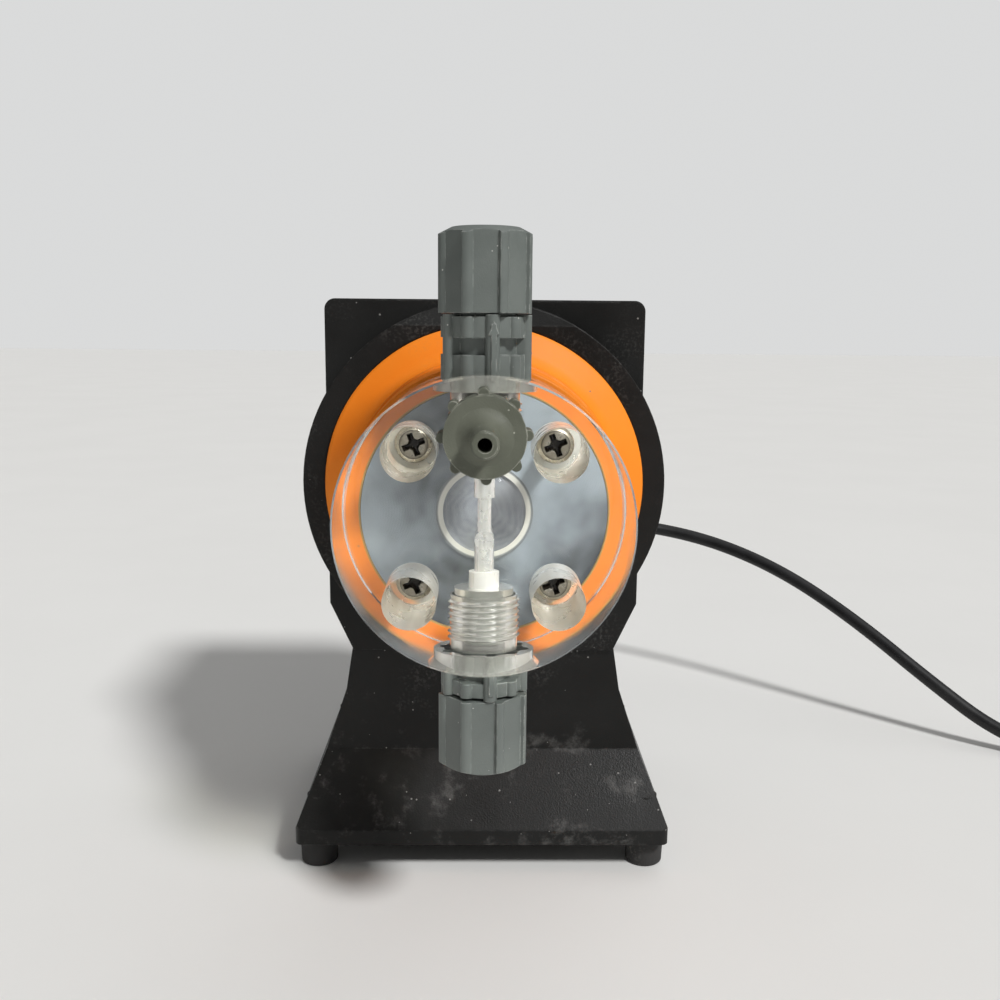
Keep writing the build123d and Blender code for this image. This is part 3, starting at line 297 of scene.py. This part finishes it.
# the light colour along the knob edges is partly rubbed wear and partly a painted highlight
knobOlive = makeFinish("knobOlive", {
    "colour": (0.096, 0.103, 0.075), "tone": (0.133, 0.14, 0.106), "toneScale": 60,
    "wearAndHighlight": 1.0, "wearAndHighlightColour": (0.46, 0.46, 0.39), "wearAndHighlightRadius": 0.0006,
    "dust": 0.1, "dustScale": 620, "patches": 0.14, "dustColour": (0.36, 0.36, 0.3),
    "roughness": (0.5, 0.68), "grain": 0.28, "grainScale": 1800, "edge": 0.0005})
ptfeWhite = makeFinish("ptfeWhite", {
    "colour": (0.78, 0.78, 0.76), "tone": (0.86, 0.86, 0.84), "toneScale": 60,
    "roughness": (0.35, 0.5), "grain": 0.08, "edge": 0.0003})
ceramicWhite = makeFinish("ceramicWhite", {
    "colour": (0.86, 0.85, 0.8), "tone": (0.9, 0.89, 0.86), "toneScale": 80,
    "roughness": (0.08, 0.16), "grain": 0.02, "edge": 0.0002})
sealBlack = makeFinish("sealBlack", {
    "colour": (0.015, 0.015, 0.015), "tone": (0.03, 0.03, 0.03), "toneScale": 120,
    "roughness": (0.35, 0.5), "grain": 0.1, "edge": 0.0003})
footRubber = makeFinish("footRubber", {
    "colour": (0.014, 0.014, 0.014), "tone": (0.03, 0.029, 0.028), "toneScale": 50,
    "dust": 0.08, "dustScale": 300, "patches": 0.35, "dustColour": (0.2, 0.19, 0.17),
    "roughness": (0.6, 0.8), "grain": 0.3, "grainScale": 1300, "edge": 0.0008})
platedLook = {
    "wearAndHighlight": 0.5, "wearAndHighlightColour": (0.8, 0.79, 0.76), "wearAndHighlightRadius": 0.0003, "toneScale": 260,
    "roughness": (0.24, 0.42), "grain": 0.12, "grainScale": 1600, "edge": 0.00025,
    "metallic": 1.0}
screwPlated = makeFinish("screwPlated", {
    **platedLook, "colour": (0.62, 0.6, 0.55), "tone": (0.44, 0.41, 0.35)})
headScrewPlated = makeFinish("headScrewPlated", {
    **platedLook, "colour": (0.55, 0.53, 0.48), "tone": (0.36, 0.33, 0.27)})
steelBright = makeFinish("steelBright", {
    "colour": (0.66, 0.66, 0.65), "tone": (0.55, 0.55, 0.55), "toneScale": 160,
    "roughness": (0.16, 0.3), "grain": 0.05, "edge": 0.0003, "metallic": 1.0})
ironTurned = makeFinish("ironTurned", {
    "colour": (0.42, 0.42, 0.43), "tone": (0.32, 0.31, 0.31), "toneScale": 90,
    "roughness": (0.3, 0.48), "grain": 0.1, "edge": 0.0004, "metallic": 1.0})
copperWire = makeFinish("copperWire", {
    "colour": (0.72, 0.3, 0.12), "tone": (0.62, 0.24, 0.1), "toneScale": 200,
    "roughness": (0.22, 0.36), "grain": 0.15, "grainScale": 2600, "edge": 0.0003,
    "metallic": 1.0})
brassTurned = makeFinish("brassTurned", {
    "colour": (0.72, 0.52, 0.2), "tone": (0.6, 0.42, 0.16), "toneScale": 160,
    "roughness": (0.2, 0.36), "grain": 0.06, "edge": 0.0003, "metallic": 1.0})
boardGreen = makeFinish("boardGreen", {
    "colour": (0.02, 0.12, 0.05), "tone": (0.03, 0.17, 0.07), "toneScale": 300,
    "roughness": (0.25, 0.4), "grain": 0.1, "edge": 0.0003})
lensRed = makeFinish("lensRed", {
    "colour": (0.5, 0.02, 0.02), "tone": (0.62, 0.04, 0.03), "toneScale": 300,
    "roughness": (0.08, 0.14), "grain": 0.02, "edge": 0.0003})
sheathBlack = makeFinish("sheathBlack", {
    "colour": (0.009, 0.009, 0.0095), "tone": (0.015, 0.015, 0.0155), "toneScale": 60,
    "dust": 0.04, "dustScale": 520, "patches": 0.08, "dustColour": (0.13, 0.125, 0.12),
    "roughness": (0.36, 0.5), "grain": 0.12, "grainScale": 1400, "edge": 0.0004,
    "specular": 0.35})
print("finishes ready")


# the disc behind the head and the diaphragm in it: turned rings, broad stains and a dull shine

turning = {
    "stainEdge": (0.36, 0.6), "roughness": (0.3, 0.46), "broadWaver": 7.0,
    "grooveScale": 620, "grooveWaver": 1.5, "grooveStrength": 0.12, "grooveDepth": 0.0002,
}


def ringNode(tree, centred, size, waver):
    rings = tree.nodes.new("ShaderNodeTexWave")
    rings.wave_type = "RINGS"
    rings.rings_direction = "Y"
    rings.inputs["Scale"].default_value = size
    rings.inputs["Distortion"].default_value = waver
    rings.inputs["Detail"].default_value = 2
    tree.links.new(centred, rings.inputs["Vector"])
    return rings.outputs["Fac"]


def makeTurned(name, look):
    material, tree, shader = startMaterial(name)
    centred = objectSpace(tree, shift=(0, 0, -pumpAxis))
    stains = rangeNode(
        tree, noiseNode(tree, centred, look["stainScale"]), *turning["stainEdge"])
    colour = mixColour(tree, stains, look["dark"], look["pale"])
    rings = ringNode(tree, centred, look["ringScale"], turning["broadWaver"])
    broad = mathNode(tree, "MULTIPLY", rings, look["ringAmount"])
    colour = mixColour(tree, broad, colour, look["ringColour"])
    tree.links.new(colour, shader.inputs["Base Color"])
    rough = rangeNode(tree, stains, 0.0, 1.0, *turning["roughness"])
    tree.links.new(rough, shader.inputs["Roughness"])
    grooves = ringNode(tree, centred, turning["grooveScale"], turning["grooveWaver"])
    bump = bumpNode(tree, grooves, turning["grooveStrength"], turning["grooveDepth"])
    tree.links.new(bump.outputs["Normal"], shader.inputs["Normal"])
    shader.inputs["Metallic"].default_value = look["metallic"]
    return material


discTurned = makeTurned("discTurned", {
    "stainScale": 17, "dark": (0.062, 0.073, 0.083), "pale": (0.44, 0.5, 0.55),
    "ringScale": 48, "ringAmount": 0.12, "ringColour": (0.4, 0.45, 0.5), "metallic": 0.45})
diaphragmGrey = makeTurned("diaphragmGrey", {
    "stainScale": 60, "dark": (0.2, 0.22, 0.25), "pale": (0.32, 0.34, 0.38),
    "ringScale": 150, "ringAmount": 0.22, "ringColour": (0.44, 0.46, 0.5), "metallic": 0.1})


# distance from the pump axis, or from four spots round it that mirror each other
def axisDistance(tree, middle=0.0):
    split = tree.nodes.new("ShaderNodeSeparateXYZ")
    tree.links.new(objectSpace(tree, shift=(0, 0, -pumpAxis)), split.inputs["Vector"])
    squares = []
    for axis in ("X", "Z"):
        off = mathNode(
            tree, "SUBTRACT", mathNode(tree, "ABSOLUTE", split.outputs[axis]), middle)
        squares.append(mathNode(tree, "MULTIPLY", off, off))
    return mathNode(tree, "SQRT", mathNode(tree, "ADD", *squares)), split.outputs["Y"]


# a white ring that turns grey towards its outer edge
sealRing = {
    "whiteTo": 0.0146, "greyFrom": 0.0152, "white": (0.78, 0.77, 0.72), "grey": (0.2, 0.22, 0.23),
    "roughness": 0.4,
}


def makeSealWhite():
    material, tree, shader = startMaterial("sealWhite")
    reach, along = axisDistance(tree)
    outward = rangeNode(tree, reach, sealRing["whiteTo"], sealRing["greyFrom"])
    colour = mixColour(tree, outward, sealRing["white"], sealRing["grey"])
    tree.links.new(colour, shader.inputs["Base Color"])
    shader.inputs["Roughness"].default_value = sealRing["roughness"]
    return material


sealWhite = makeSealWhite()


def overPaint(material, mask, colour):  # lays a colour over the finish where the mask is white
    tree = material.node_tree
    base = tree.nodes["Principled BSDF"].inputs["Base Color"]
    tree.links.new(mixColour(tree, mask, base.links[0].from_socket, colour), base)


# painted shade: the cross recess of the four head screws is painted near black and not metallic
recess = {
    "middle": 0.0222, "radius": 0.0046, "face": -0.0695, "depth": 0.0006,
    "dirtAndShade": (0.016, 0.013, 0.01),
}
screwTree = headScrewPlated.node_tree
reach, along = axisDistance(screwTree, recess["middle"])
deep = rangeNode(screwTree, along, recess["face"], recess["face"] + recess["depth"])
inHead = mathNode(screwTree, "LESS_THAN", reach, recess["radius"])
# mask of the painted shade: inside the recess, below its face
dirtAndShade = mathNode(screwTree, "MULTIPLY", inHead, deep)
overPaint(headScrewPlated, dirtAndShade, recess["dirtAndShade"])
screwTree.links.new(mathNode(screwTree, "SUBTRACT", 1.0, dirtAndShade),
                    screwTree.nodes["Principled BSDF"].inputs["Metallic"])

# a thin gold line on the orange ring, round the pump axis
goldLine = {"radius": 0.04, "halfWidth": 0.0003, "colour": (0.5, 0.3, 0.08)}
reach, along = axisDistance(adapterOrange.node_tree)
line = mathNode(
    adapterOrange.node_tree, "COMPARE", reach, goldLine["radius"], goldLine["halfWidth"])
overPaint(adapterOrange, line, goldLine["colour"])


# clear acrylic: shadow rays pass, so that the inside is lit

acrylic = {"ior": 1.49, "dirtPatches": 0.5, "clearUnderDirt": 0.3, "markDetail": 3,
           "markDepth": 0.0002}


def makeAcrylic(name, look):
    material, tree, shader = startMaterial(name)
    tone = placeGroup(tree, "tone", {"Scale": look["toneScale"]}).outputs["Mask"]
    colour = mixColour(tree, tone, look["colour"], look["tone"])
    shader.inputs["Transmission Weight"].default_value = look["clear"]
    if "dirtAndShade" in look:
        dirtAndShade = placeGroup(tree, "dust", {
            "Scale": look["dirtScale"], "Specks": look["dirtAndShade"],
            "Patches": acrylic["dirtPatches"]}).outputs["Mask"]
        colour = mixColour(tree, dirtAndShade, colour, look["dirtColour"])
        dulled = look["clear"] * acrylic["clearUnderDirt"]
        clear = rangeNode(tree, dirtAndShade, 0.0, 1.0, look["clear"], dulled)
        tree.links.new(clear, shader.inputs["Transmission Weight"])
    tree.links.new(colour, shader.inputs["Base Color"])
    rough = rangeNode(tree, tone, 0.0, 1.0, *look["roughness"])
    tree.links.new(rough, shader.inputs["Roughness"])
    if "grain" in look:
        vector = objectSpace(tree, stretch=look["stretch"])
        marks = noiseNode(tree, vector, look["grainScale"], acrylic["markDetail"])
        bump = bumpNode(tree, marks, look["grain"], acrylic["markDepth"])
        tree.links.new(bump.outputs["Normal"], shader.inputs["Normal"])
    shader.inputs["IOR"].default_value = acrylic["ior"]
    passing = tree.nodes.new("ShaderNodeBsdfTransparent")
    passing.inputs["Color"].default_value = (*look["shadow"], 1)
    lightPath = tree.nodes.new("ShaderNodeLightPath")
    mix = tree.nodes.new("ShaderNodeMixShader")
    tree.links.new(lightPath.outputs["Is Shadow Ray"], mix.inputs["Fac"])
    tree.links.new(shader.outputs["BSDF"], mix.inputs[1])
    tree.links.new(passing.outputs["BSDF"], mix.inputs[2])
    tree.links.new(mix.outputs["Shader"], tree.nodes["Material Output"].inputs["Surface"])
    return material


acrylicClear = makeAcrylic("acrylicClear", {
    "colour": (0.985, 0.99, 0.985), "tone": (0.96, 0.965, 0.955), "toneScale": 40,
    "roughness": (0.0, 0.015), "clear": 1.0, "shadow": (0.93, 0.94, 0.93)})
acrylicTurned = makeAcrylic("acrylicTurned", {
    "colour": (0.97, 0.97, 0.96), "tone": (0.9, 0.89, 0.86), "toneScale": 55,
    "roughness": (0.05, 0.15), "clear": 0.95, "shadow": (0.9, 0.91, 0.9),
    "dirtAndShade": 0.1, "dirtScale": 500, "dirtColour": (0.42, 0.36, 0.28)})
acrylicFrosted = makeAcrylic("acrylicFrosted", {
    "colour": (0.97, 0.94, 0.85), "tone": (0.9, 0.84, 0.7), "toneScale": 60,
    "roughness": (0.24, 0.34), "clear": 0.6, "shadow": (0.86, 0.85, 0.8),
    "dirtAndShade": 0.16, "dirtScale": 900, "dirtColour": (0.4, 0.29, 0.13)})
acrylicThreaded = makeAcrylic("acrylicThreaded", {
    "colour": (0.72, 0.71, 0.64), "tone": (0.62, 0.61, 0.54), "toneScale": 90,
    "roughness": (0.12, 0.22), "clear": 0.78, "shadow": (0.84, 0.84, 0.8)})
acrylicDrilled = makeAcrylic("acrylicDrilled", {
    "colour": (0.94, 0.94, 0.9), "tone": (0.9, 0.9, 0.86), "toneScale": 160,
    "roughness": (0.2, 0.34), "clear": 0.66, "shadow": (0.88, 0.88, 0.85),
    "grain": 0.1, "grainScale": 1500, "stretch": (1, 1, 0.2)})
acrylicSeat = makeAcrylic("acrylicSeat", {
    "colour": (0.97, 0.96, 0.9), "tone": (0.92, 0.91, 0.85), "toneScale": 200,
    "roughness": (0.3, 0.4), "clear": 0.3, "shadow": (0.9, 0.9, 0.86)})
print("acrylic ready")


# which finish each piece has

nodeFinishes = {
    housingBlack: ("main_housing", "base_plate"),
    panelBlack: ("rear_cover", "power_switch", "power_rocker", "signal_socket_cap",
                 "cable_gland", "gland_nut"),
    adapterOrange: ("head_adapter",),
    discTurned: ("support_plate",),
    knobOlive: ("bleed_knob", "stroke_knob", "rate_knob"),
    valveGrey: (
        "bleed_valve_insert", "discharge_valve_body", "suction_valve_body",
        "discharge_union_nut", "suction_union_nut", "discharge_clamp_ring", "suction_clamp_ring",
        "discharge_hose_insert", "suction_hose_insert", "discharge_ball_seat",
        "suction_ball_seat"),
    ceramicWhite: ("discharge_ball", "suction_ball"),
    sealBlack: ("discharge_port_seal", "suction_port_seal", "cover_gasket"),
    sealWhite: ("chamber_seal_ring",),
    diaphragmGrey: ("diaphragm",),
    ptfeWhite: ("coil_bobbin",),
    footRubber: ("rubber_feet",),
    screwPlated: ("foot_screws", "adapter_screws", "cover_screws"),
    headScrewPlated: ("head_screws",),
    steelBright: ("mains_plug_pins", "signal_socket", "rate_potentiometer", "push_rod",
                  "stroke_stop", "stroke_spindle", "return_spring"),
    ironTurned: ("armature", "solenoid_pot", "end_plate"),
    copperWire: ("coil_winding",),
    brassTurned: ("rod_bush",),
    boardGreen: ("control_board",),
    lensRed: ("led_lenses",),
    sheathBlack: ("strain_relief", "mains_plug", "mains_cord", "mains_cord_coil"),
    acrylicClear: ("pump_head",),
}
for material, nodeNames in nodeFinishes.items():
    for nodeName in nodeNames:
        slots = nodes[nodeName].data.materials
        slots.clear()
        slots.append(material)
print("nodes finished:", sum(len(nodeNames) for nodeNames in nodeFinishes.values()))


# helpers for pieces

smoothAngle = 35  # degrees: a sharper edge stays an edge


def linkPiece(name, mesh, materials):
    piece = bpy.data.objects.new(name, mesh)
    scene.collection.objects.link(piece)
    for material in materials:
        mesh.materials.append(material)
    mesh.shade_smooth()
    mesh.set_sharp_from_angle(angle=math.radians(smoothAngle))
    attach(piece, "pump")
    return piece


def meshFrom(bm, name):
    mesh = bpy.data.meshes.new(name)
    bm.to_mesh(mesh)
    bm.free()
    return mesh


# a threaded rod: a drawn-out ring whose radius follows the helix

threads = {
    "pitch": 0.0019, "flank": 0.42, "rows": 8, "segments": 96,  # flank: half a ridge, in pitches
    "tapCore": 0.0102, "tapCrest": 0.0112,
    "tapped": {"suctionThread": (-0.0362, -0.0236), "dischargeThread": (0.0236, 0.0362)},
    "bodyCore": 0.00978, "bodyCrest": 0.01025,
    "turned": {"suctionThread": (-0.0362, -0.0234), "dischargeThread": (0.0234, 0.0362)},
}


def threadForm(core, crest, low, high):
    bm = bmesh.new()
    ring = bmesh.ops.create_circle(
        bm, cap_ends=False, radius=core, segments=threads["segments"])
    bmesh.ops.translate(bm, verts=ring["verts"], vec=(0, portY, low))
    edges = list(bm.edges)
    steps = round((high - low) / threads["pitch"] * threads["rows"])
    for step in range(steps):
        grown = bmesh.ops.extrude_edge_only(bm, edges=edges)["geom"]
        edges = [g for g in grown if isinstance(g, bmesh.types.BMEdge)]
        verts = [g for g in grown if isinstance(g, bmesh.types.BMVert)]
        bmesh.ops.translate(bm, verts=verts, vec=(0, 0, (high - low) / steps))
        edges = [e for e in edges if e.verts[0] in verts and e.verts[1] in verts]
    bmesh.ops.holes_fill(bm, edges=[e for e in bm.edges if e.is_boundary], sides=0)
    for vert in bm.verts:
        x, y = vert.co.x, vert.co.y - portY
        turn = math.atan2(y, x) / (2 * math.pi)
        phase = ((vert.co.z - low) / threads["pitch"] - turn) % 1.0
        rise = max(0.0, 1 - abs(phase - 0.5) / threads["flank"])
        reach = core + (crest - core) * rise
        vert.co.x, vert.co.y = x / core * reach, portY + y / core * reach
    bmesh.ops.recalc_face_normals(bm, faces=bm.faces)
    return bm


def cutAway(target, cutterMesh):
    cutter = bpy.data.objects.new("cutter", cutterMesh)
    scene.collection.objects.link(cutter)
    boolean = target.modifiers.new("cut", "BOOLEAN")
    boolean.operation = "DIFFERENCE"
    boolean.solver = "EXACT"
    boolean.object = cutter
    bpy.context.view_layer.update()
    evaluated = target.evaluated_get(bpy.context.evaluated_depsgraph_get())
    cut = bpy.data.meshes.new_from_object(evaluated)
    target.modifiers.clear()
    target.data = cut
    bpy.data.objects.remove(cutter)


# clear head: its ports are tapped, and the drilled and turned walls get finishes of their own

head = {
    "front": -0.094, "radius": 0.045, "rim": 0.0005, "near": 0.0001, "merge": 1e-6,
    "screwHalf": 0.0222, "pocketRadius": 0.0081, "pocketSlack": 0.0004, "pocketEnd": -0.0648,
    "portRadius": 0.0165, "portEnd": 0.0201, "channelRadius": 0.0072, "collarTop": 0.0153,
    "grooveFloor": -0.0488, "grooveOuter": 0.0156, "grooveInner": 0.0133,
    "gap": 0.00004,  # film of air at the rear face and in the seal groove
}
headFinishes = {
    "clear": acrylicClear, "pocket": acrylicFrosted, "channel": acrylicDrilled,
    "thread": acrylicThreaded, "rim": acrylicTurned, "seat": acrylicSeat,
}


def headFinish(centre):
    offX, offZ = abs(centre.x), abs(centre.z - pumpAxis)
    if math.hypot(offX, offZ) > head["radius"] - head["rim"]:
        return "rim"
    fromPocket = math.hypot(offX - head["screwHalf"], offZ - head["screwHalf"])
    inWall = head["front"] + head["near"] < centre.y < head["pocketEnd"]
    if inWall and fromPocket < head["pocketRadius"] + head["pocketSlack"]:
        return "pocket"
    fromPort = math.hypot(centre.x, centre.y - portY)
    if fromPort < head["portRadius"] and offZ > head["portEnd"]:
        return "thread"
    if fromPort < head["channelRadius"]:
        return "seat" if pumpAxis - centre.z > head["collarTop"] else "channel"
    return "clear"


bm = bmesh.new()
bm.from_mesh(nodes["pump_head"].data)
bmesh.ops.remove_doubles(bm, verts=bm.verts, dist=head["merge"])
headForm = bpy.data.objects.new("headForm", meshFrom(bm, "headForm"))
scene.collection.objects.link(headForm)
for name, (low, high) in threads["tapped"].items():
    tap = threadForm(threads["tapCore"], threads["tapCrest"], pumpAxis + low, pumpAxis + high)
    cutAway(headForm, meshFrom(tap, name))
headMesh = headForm.data
bpy.data.objects.remove(headForm)
headMesh.materials.clear()
headMesh.attributes.remove(headMesh.attributes["custom_normal"])  # flat walls refract as flat
for vert in headMesh.vertices:
    if vert.co.y <= head["grooveFloor"] - head["near"]:
        continue
    fromAxis = math.hypot(vert.co.x, vert.co.z - pumpAxis)
    for wall, gap in ((head["grooveOuter"], head["gap"]), (head["grooveInner"], -head["gap"])):
        if abs(fromAxis - wall) < head["near"]:
            wider = 1 + gap / fromAxis
            vert.co.x *= wider
            vert.co.z = pumpAxis + (vert.co.z - pumpAxis) * wider
    vert.co.y -= head["gap"]
clearHead = linkPiece("clearHead", headMesh, headFinishes.values())
slotOrder = list(headFinishes)
for face in headMesh.polygons:
    face.material_index = slotOrder.index(headFinish(face.center))
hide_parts("pump_head")
print("clear head:", len(headMesh.polygons), "faces")

# threads on the valve bodies, inside the tapped ports

for name, (low, high) in threads["turned"].items():
    form = threadForm(
        threads["bodyCore"], threads["bodyCrest"], pumpAxis + low, pumpAxis + high)
    thread = linkPiece(name, meshFrom(form, name), [valveGrey])
print("threads cut")

# return spring: a copy with a mesh of its own stands in for the CAD spring

spring = nodes["return_spring"]
springMesh = spring.data.copy()
springMesh.materials.clear()
closingSpring = linkPiece("closingSpring", springMesh, [steelBright])
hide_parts("return_spring")
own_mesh(closingSpring)
print("return spring fitted")

# mains lead: from the strain relief over the floor to its coil and plug

lead = {
    "radius": 0.0035, "length": 1.69, "resolution": 12, "roundness": 6,
    "route": [
        (0.038, 0.153, 0.098), (0.038, 0.187, 0.098), (0.060, 0.215, 0.097),
        (0.098, 0.223, 0.093), (0.138, 0.211, 0.086), (0.174, 0.187, 0.073),
        (0.206, 0.157, 0.053), (0.236, 0.129, 0.029), (0.262, 0.107, 0.010),
        (0.288, 0.092, 0.0036), (0.3125, 0.0865, 0.0036),
    ],
    "toPlug": [(0.3865, 0.130, 0.0182), (0.3830, 0.139, 0.0190), (0.3825, 0.1472, 0.0192)],
}
coil = {
    "middle": (0.345, 0.118), "outer": 0.0422, "inner": 0.03466,
    "low": 0.0037, "centre": 0.0108, "high": 0.0179,
    "turnPoints": 16, "firstAngle": -112, "lastAngle": -8,
    "changes": (100, 60, 100, 100, 100),  # degrees over which a turn moves to the next place
    "changeLag": 40,  # degrees by which each change comes earlier in its turn
}


def coilPoints():
    places = [
        (coil["outer"], coil["low"]), (coil["inner"], coil["low"]),
        (coil["inner"], coil["centre"]), (coil["outer"], coil["centre"]),
        (coil["inner"], coil["high"]), (coil["outer"], coil["high"]),
    ]
    sweep = 360 * (len(places) - 1) + coil["lastAngle"] - coil["firstAngle"]
    count = round(sweep * coil["turnPoints"] / 360)
    points = []
    for step in range(count + 1):
        turned = sweep * step / count
        reach, z = places[0]
        for turn, spread in enumerate(coil["changes"]):
            done = 1 - (360 * (turn + 1) - coil["changeLag"] * turn - turned) / spread
            eased = (1 - math.cos(math.pi * min(max(done, 0), 1))) / 2
            reach += (places[turn + 1][0] - places[turn][0]) * eased
            z += (places[turn + 1][1] - places[turn][1]) * eased
        angle = math.radians(coil["firstAngle"] + turned)
        points.append((coil["middle"][0] + reach * math.cos(angle),
                       coil["middle"][1] + reach * math.sin(angle), z))
    return points


curve = bpy.data.curves.new("mainsLead", "CURVE")
curve.dimensions = "3D"
spline = curve.splines.new("NURBS")
leadPoints = lead["route"] + coilPoints() + lead["toPlug"]
spline.points.add(len(leadPoints) - 1)
for point, place in zip(spline.points, leadPoints):
    point.co = (*place, 1)
spline.order_u = 3
spline.use_endpoint_u = True
spline.resolution_u = lead["resolution"]
curve.bevel_depth = lead["radius"]
curve.bevel_resolution = lead["roundness"]
curve.use_fill_caps = True
curve.materials.append(sheathBlack)
mainsLead = bpy.data.objects.new("mainsLead", curve)
scene.collection.objects.link(mainsLead)
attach(mainsLead, "pump")
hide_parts("mains_cord", "mains_cord_coil")
print("mains lead laid")

# floor and world: camera and glass see an even pale studio, the rest a soft fall of light

surroundings = {
    "floorSize": 14.0, "floorColour": (0.80, 0.795, 0.775), "floorShade": (0.785, 0.78, 0.76),
    "floorToneScale": 6.0, "floorRoughness": 0.7, "skyColour": (0.70, 0.705, 0.705),
    "level": 0.08, "zenith": 0.3, "levelHeight": -0.1, "zenithHeight": 0.9,
}

bm = bmesh.new()
bmesh.ops.create_grid(bm, x_segments=1, y_segments=1, size=surroundings["floorSize"] / 2)
floor = bpy.data.objects.new("floor", meshFrom(bm, "floor"))
scene.collection.objects.link(floor)
floorPaint, tree, shader = startMaterial("floorPaint")
cloud = placeGroup(tree, "tone", {"Scale": surroundings["floorToneScale"]})
colour = mixColour(tree, cloud.outputs["Mask"], surroundings["floorColour"],
                   surroundings["floorShade"])
tree.links.new(colour, shader.inputs["Base Color"])
shader.inputs["Roughness"].default_value = surroundings["floorRoughness"]
floor.data.materials.append(floorPaint)

world = bpy.data.worlds.new("studio")
scene.world = world
world.use_nodes = True
tree = world.node_tree
background = tree.nodes["Background"]
background.inputs["Color"].default_value = (1.0, 1.0, 1.0, 1)
direction = tree.nodes.new("ShaderNodeTexCoord")
axes = tree.nodes.new("ShaderNodeSeparateXYZ")
tree.links.new(direction.outputs["Generated"], axes.inputs["Vector"])
glow = rangeNode(
    tree, axes.outputs["Z"], surroundings["levelHeight"], surroundings["zenithHeight"],
    surroundings["level"], surroundings["zenith"])
tree.links.new(glow, background.inputs["Strength"])
seen = tree.nodes.new("ShaderNodeBackground")
seen.inputs["Color"].default_value = (*surroundings["skyColour"], 1)
seen.inputs["Strength"].default_value = 1.0
path = tree.nodes.new("ShaderNodeLightPath")
seenDirectly = mathNode(
    tree, "MAXIMUM", path.outputs["Is Camera Ray"], path.outputs["Is Transmission Ray"])
mix = tree.nodes.new("ShaderNodeMixShader")
tree.links.new(seenDirectly, mix.inputs["Fac"])
tree.links.new(background.outputs["Background"], mix.inputs[1])
tree.links.new(seen.outputs["Background"], mix.inputs[2])
tree.links.new(mix.outputs["Shader"], tree.nodes["World Output"].inputs["Surface"])

# lamps: far and large, so that the floor is lit evenly

lamps = {
    "overhead": {"from": (0.35, 0.3, 1.0), "angle": 45, "power": 0.3},
    "front": {"from": (0.62, -0.75, 0.95), "angle": 9, "power": 2.75},
}
for name, lamp in lamps.items():
    light = bpy.data.lights.new(name, "SUN")
    light.angle = math.radians(lamp["angle"])
    light.energy = lamp["power"]
    lampObject = bpy.data.objects.new(name, light)
    scene.collection.objects.link(lampObject)
    lampObject.location = lamp["from"]
    lampObject.rotation_euler = (-Vector(lamp["from"])).to_track_quat("-Z", "Y").to_euler()

# camera, with its turns in radians

camera = {
    "place": (-0.00036, -0.38833, 0.21414), "pitch": 0.1715, "yaw": -0.0165, "roll": -0.0087,
    "lens": 37.05, "sensor": 36, "clip": (0.01, 50),
}
lens = bpy.data.cameras.new("camera")
lens.lens = camera["lens"]
lens.sensor_width = camera["sensor"]
lens.clip_start, lens.clip_end = camera["clip"]
cameraObject = bpy.data.objects.new("camera", lens)
scene.collection.objects.link(cameraObject)
yaw = Matrix.Rotation(camera["yaw"], 4, "Z")
pitch = Matrix.Rotation(-camera["pitch"], 4, "X")
roll = Matrix.Rotation(camera["roll"], 4, "Y")
upright = Matrix.Rotation(math.radians(90), 4, "X")
cameraObject.matrix_world = Matrix.Translation(camera["place"]) @ yaw @ pitch @ roll @ upright
scene.camera = cameraObject
print("stage set")
